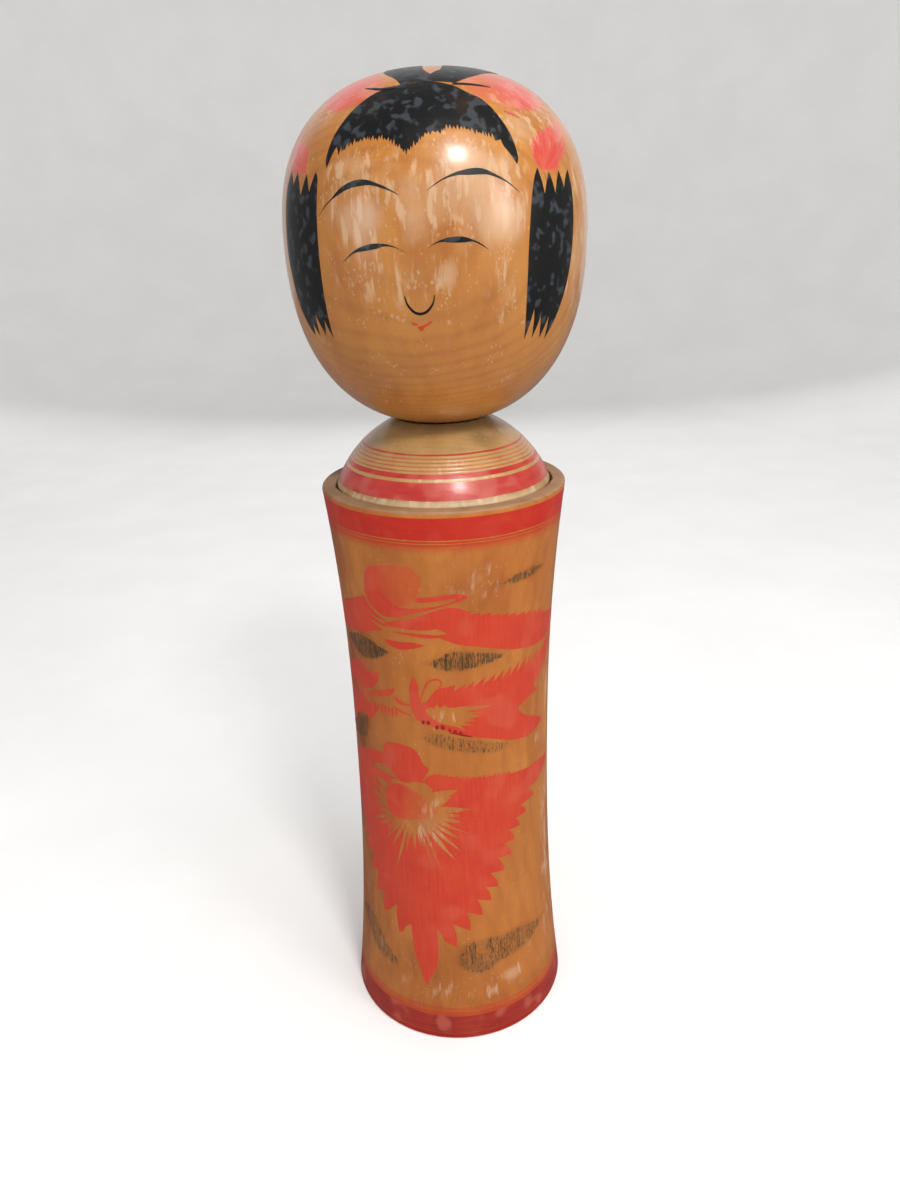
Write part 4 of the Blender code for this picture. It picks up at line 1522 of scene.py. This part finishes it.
def studio_floor():
    """Pale floor that curves up into a wall all round, a hair below the foot."""
    flat, bend, wall, steps = 1.5, 0.8, 2.4, 96
    turns = [(math.cos(math.tau * step / steps), math.sin(math.tau * step / steps)) for step in range(steps)]
    profile = [(0.3 * step, 0.0) for step in range(6)]
    for angle in between(0, math.pi / 2, 14)[1:]:
        profile.append((flat + bend * math.sin(angle), bend - bend * math.cos(angle)))
    profile.append((flat + bend, wall))
    verts = [(0, 0, 0)]
    for radius, z in profile[1:]:
        verts += [(radius * across, radius * along, z) for across, along in turns]
    faces = [(0, 1 + s, 1 + (s + 1) % steps) for s in range(steps)]
    for row in range(len(profile) - 2):
        here, after = 1 + row * steps, 1 + (row + 1) * steps
        pairs = [(s, (s + 1) % steps) for s in range(steps)]
        faces += [(here + s, after + s, after + following, here + following) for s, following in pairs]
    mesh = bpy.data.meshes.new("studio_floor")
    mesh.from_pydata(verts, [], faces)
    mesh.shade_smooth()
    material, n = new_material("studio_paint")
    where = n.add("ShaderNodeTexCoord").outputs["Object"]
    clouds = n.ramp(n.noise(where, 9, 4), 0.3, 0.7)
    shade = n.mix(clouds, colour(0.85, 0.845, 0.835), colour(0.88, 0.875, 0.865))
    shader = n.tree.nodes["Principled BSDF"]
    n.tree.links.new(shade, shader.inputs["Base Color"])
    shader.inputs["Roughness"].default_value = 0.85
    mesh.materials.append(material)
    floor = bpy.data.objects.new("studio_floor", mesh)
    bpy.context.collection.objects.link(floor)
    floor.location.z = -FLOOR_GAP
    floor.visible_glossy = False


studio_floor()


def area_light(
    name, azimuth, elevation, distance, size, power, tint=(1, 1, 1), target=(0, 0, 0.30), glossy=True,
):
    """Soft light, unseen by the camera, in a direction given by azimuth (as on the doll) and elevation."""
    light = bpy.data.lights.new(name, "AREA")
    light.shape = "RECTANGLE"
    light.size, light.size_y = size
    light.energy = power
    light.color = tint
    holder = bpy.data.objects.new(name, light)
    a, e = math.radians(azimuth), math.radians(elevation)
    away = Vector((math.sin(a) * math.cos(e), -math.cos(a) * math.cos(e), math.sin(e)))
    holder.location = Vector(target) + away * distance
    holder.rotation_euler = away.to_track_quat("Z", "Y").to_euler()
    holder.visible_glossy = glossy
    holder.visible_camera = False
    bpy.context.collection.objects.link(holder)


area_light("key_window", 21, 43, 1.25, (0.24, 0.20), 10.0, (1.0, 0.99, 0.97), (0.01, -0.05, 0.41))
area_light("side_window", 50, 12, 1.2, (0.34, 0.40), 4.2, (0.97, 0.98, 1.0), (0.02, -0.05, 0.39))
area_light("left_window", -52, 7, 1.2, (0.36, 0.42), 1.9, (0.98, 0.98, 1.0), (-0.02, -0.05, 0.39))
area_light("overhead", 35, 72, 1.6, (1.2, 1.2), 18.0, (1.0, 0.99, 0.98), glossy=False)
area_light("back_card", 180, 24, 1.35, (2.4, 1.5), 6.0, (0.97, 0.98, 1.0))

world = bpy.data.worlds.new("studio_world")
world.use_nodes = True
sky = world.node_tree.nodes["Background"]
sky.inputs["Color"].default_value = colour(0.93, 0.94, 0.96)
sky.inputs["Strength"].default_value = 0.26
bpy.context.scene.world = world
bpy.context.scene.view_settings.view_transform = "Standard"

# Camera: a phone held close, tipped down and a little sideways
CAMERA_PLACE = (0.0, -0.4038, 0.3944)
CAMERA_PITCH = math.radians(22.69)
CAMERA_YAW = math.radians(0.17)
CAMERA_ROLL = math.radians(-1.83)
SENSOR_HEIGHT = 36
FOCAL_SHARE = 900 / 1200

camera_data = bpy.data.cameras.new("camera")
camera_data.sensor_fit = "VERTICAL"
camera_data.sensor_height = SENSOR_HEIGHT
camera_data.lens = SENSOR_HEIGHT * FOCAL_SHARE
camera_data.clip_start = 0.01
camera = bpy.data.objects.new("camera", camera_data)
forward = Vector((
    math.sin(CAMERA_YAW) * math.cos(CAMERA_PITCH),
    math.cos(CAMERA_YAW) * math.cos(CAMERA_PITCH),
    -math.sin(CAMERA_PITCH),
))
level_right = Vector((math.cos(CAMERA_YAW), -math.sin(CAMERA_YAW), 0))
level_up = level_right.cross(forward)
right = level_right * math.cos(CAMERA_ROLL) + level_up * math.sin(CAMERA_ROLL)
up = level_up * math.cos(CAMERA_ROLL) - level_right * math.sin(CAMERA_ROLL)
turn = Matrix((right, up, -forward)).transposed()
camera.matrix_world = Matrix.Translation(CAMERA_PLACE) @ turn.to_4x4()
bpy.context.collection.objects.link(camera)
bpy.context.scene.camera = camera
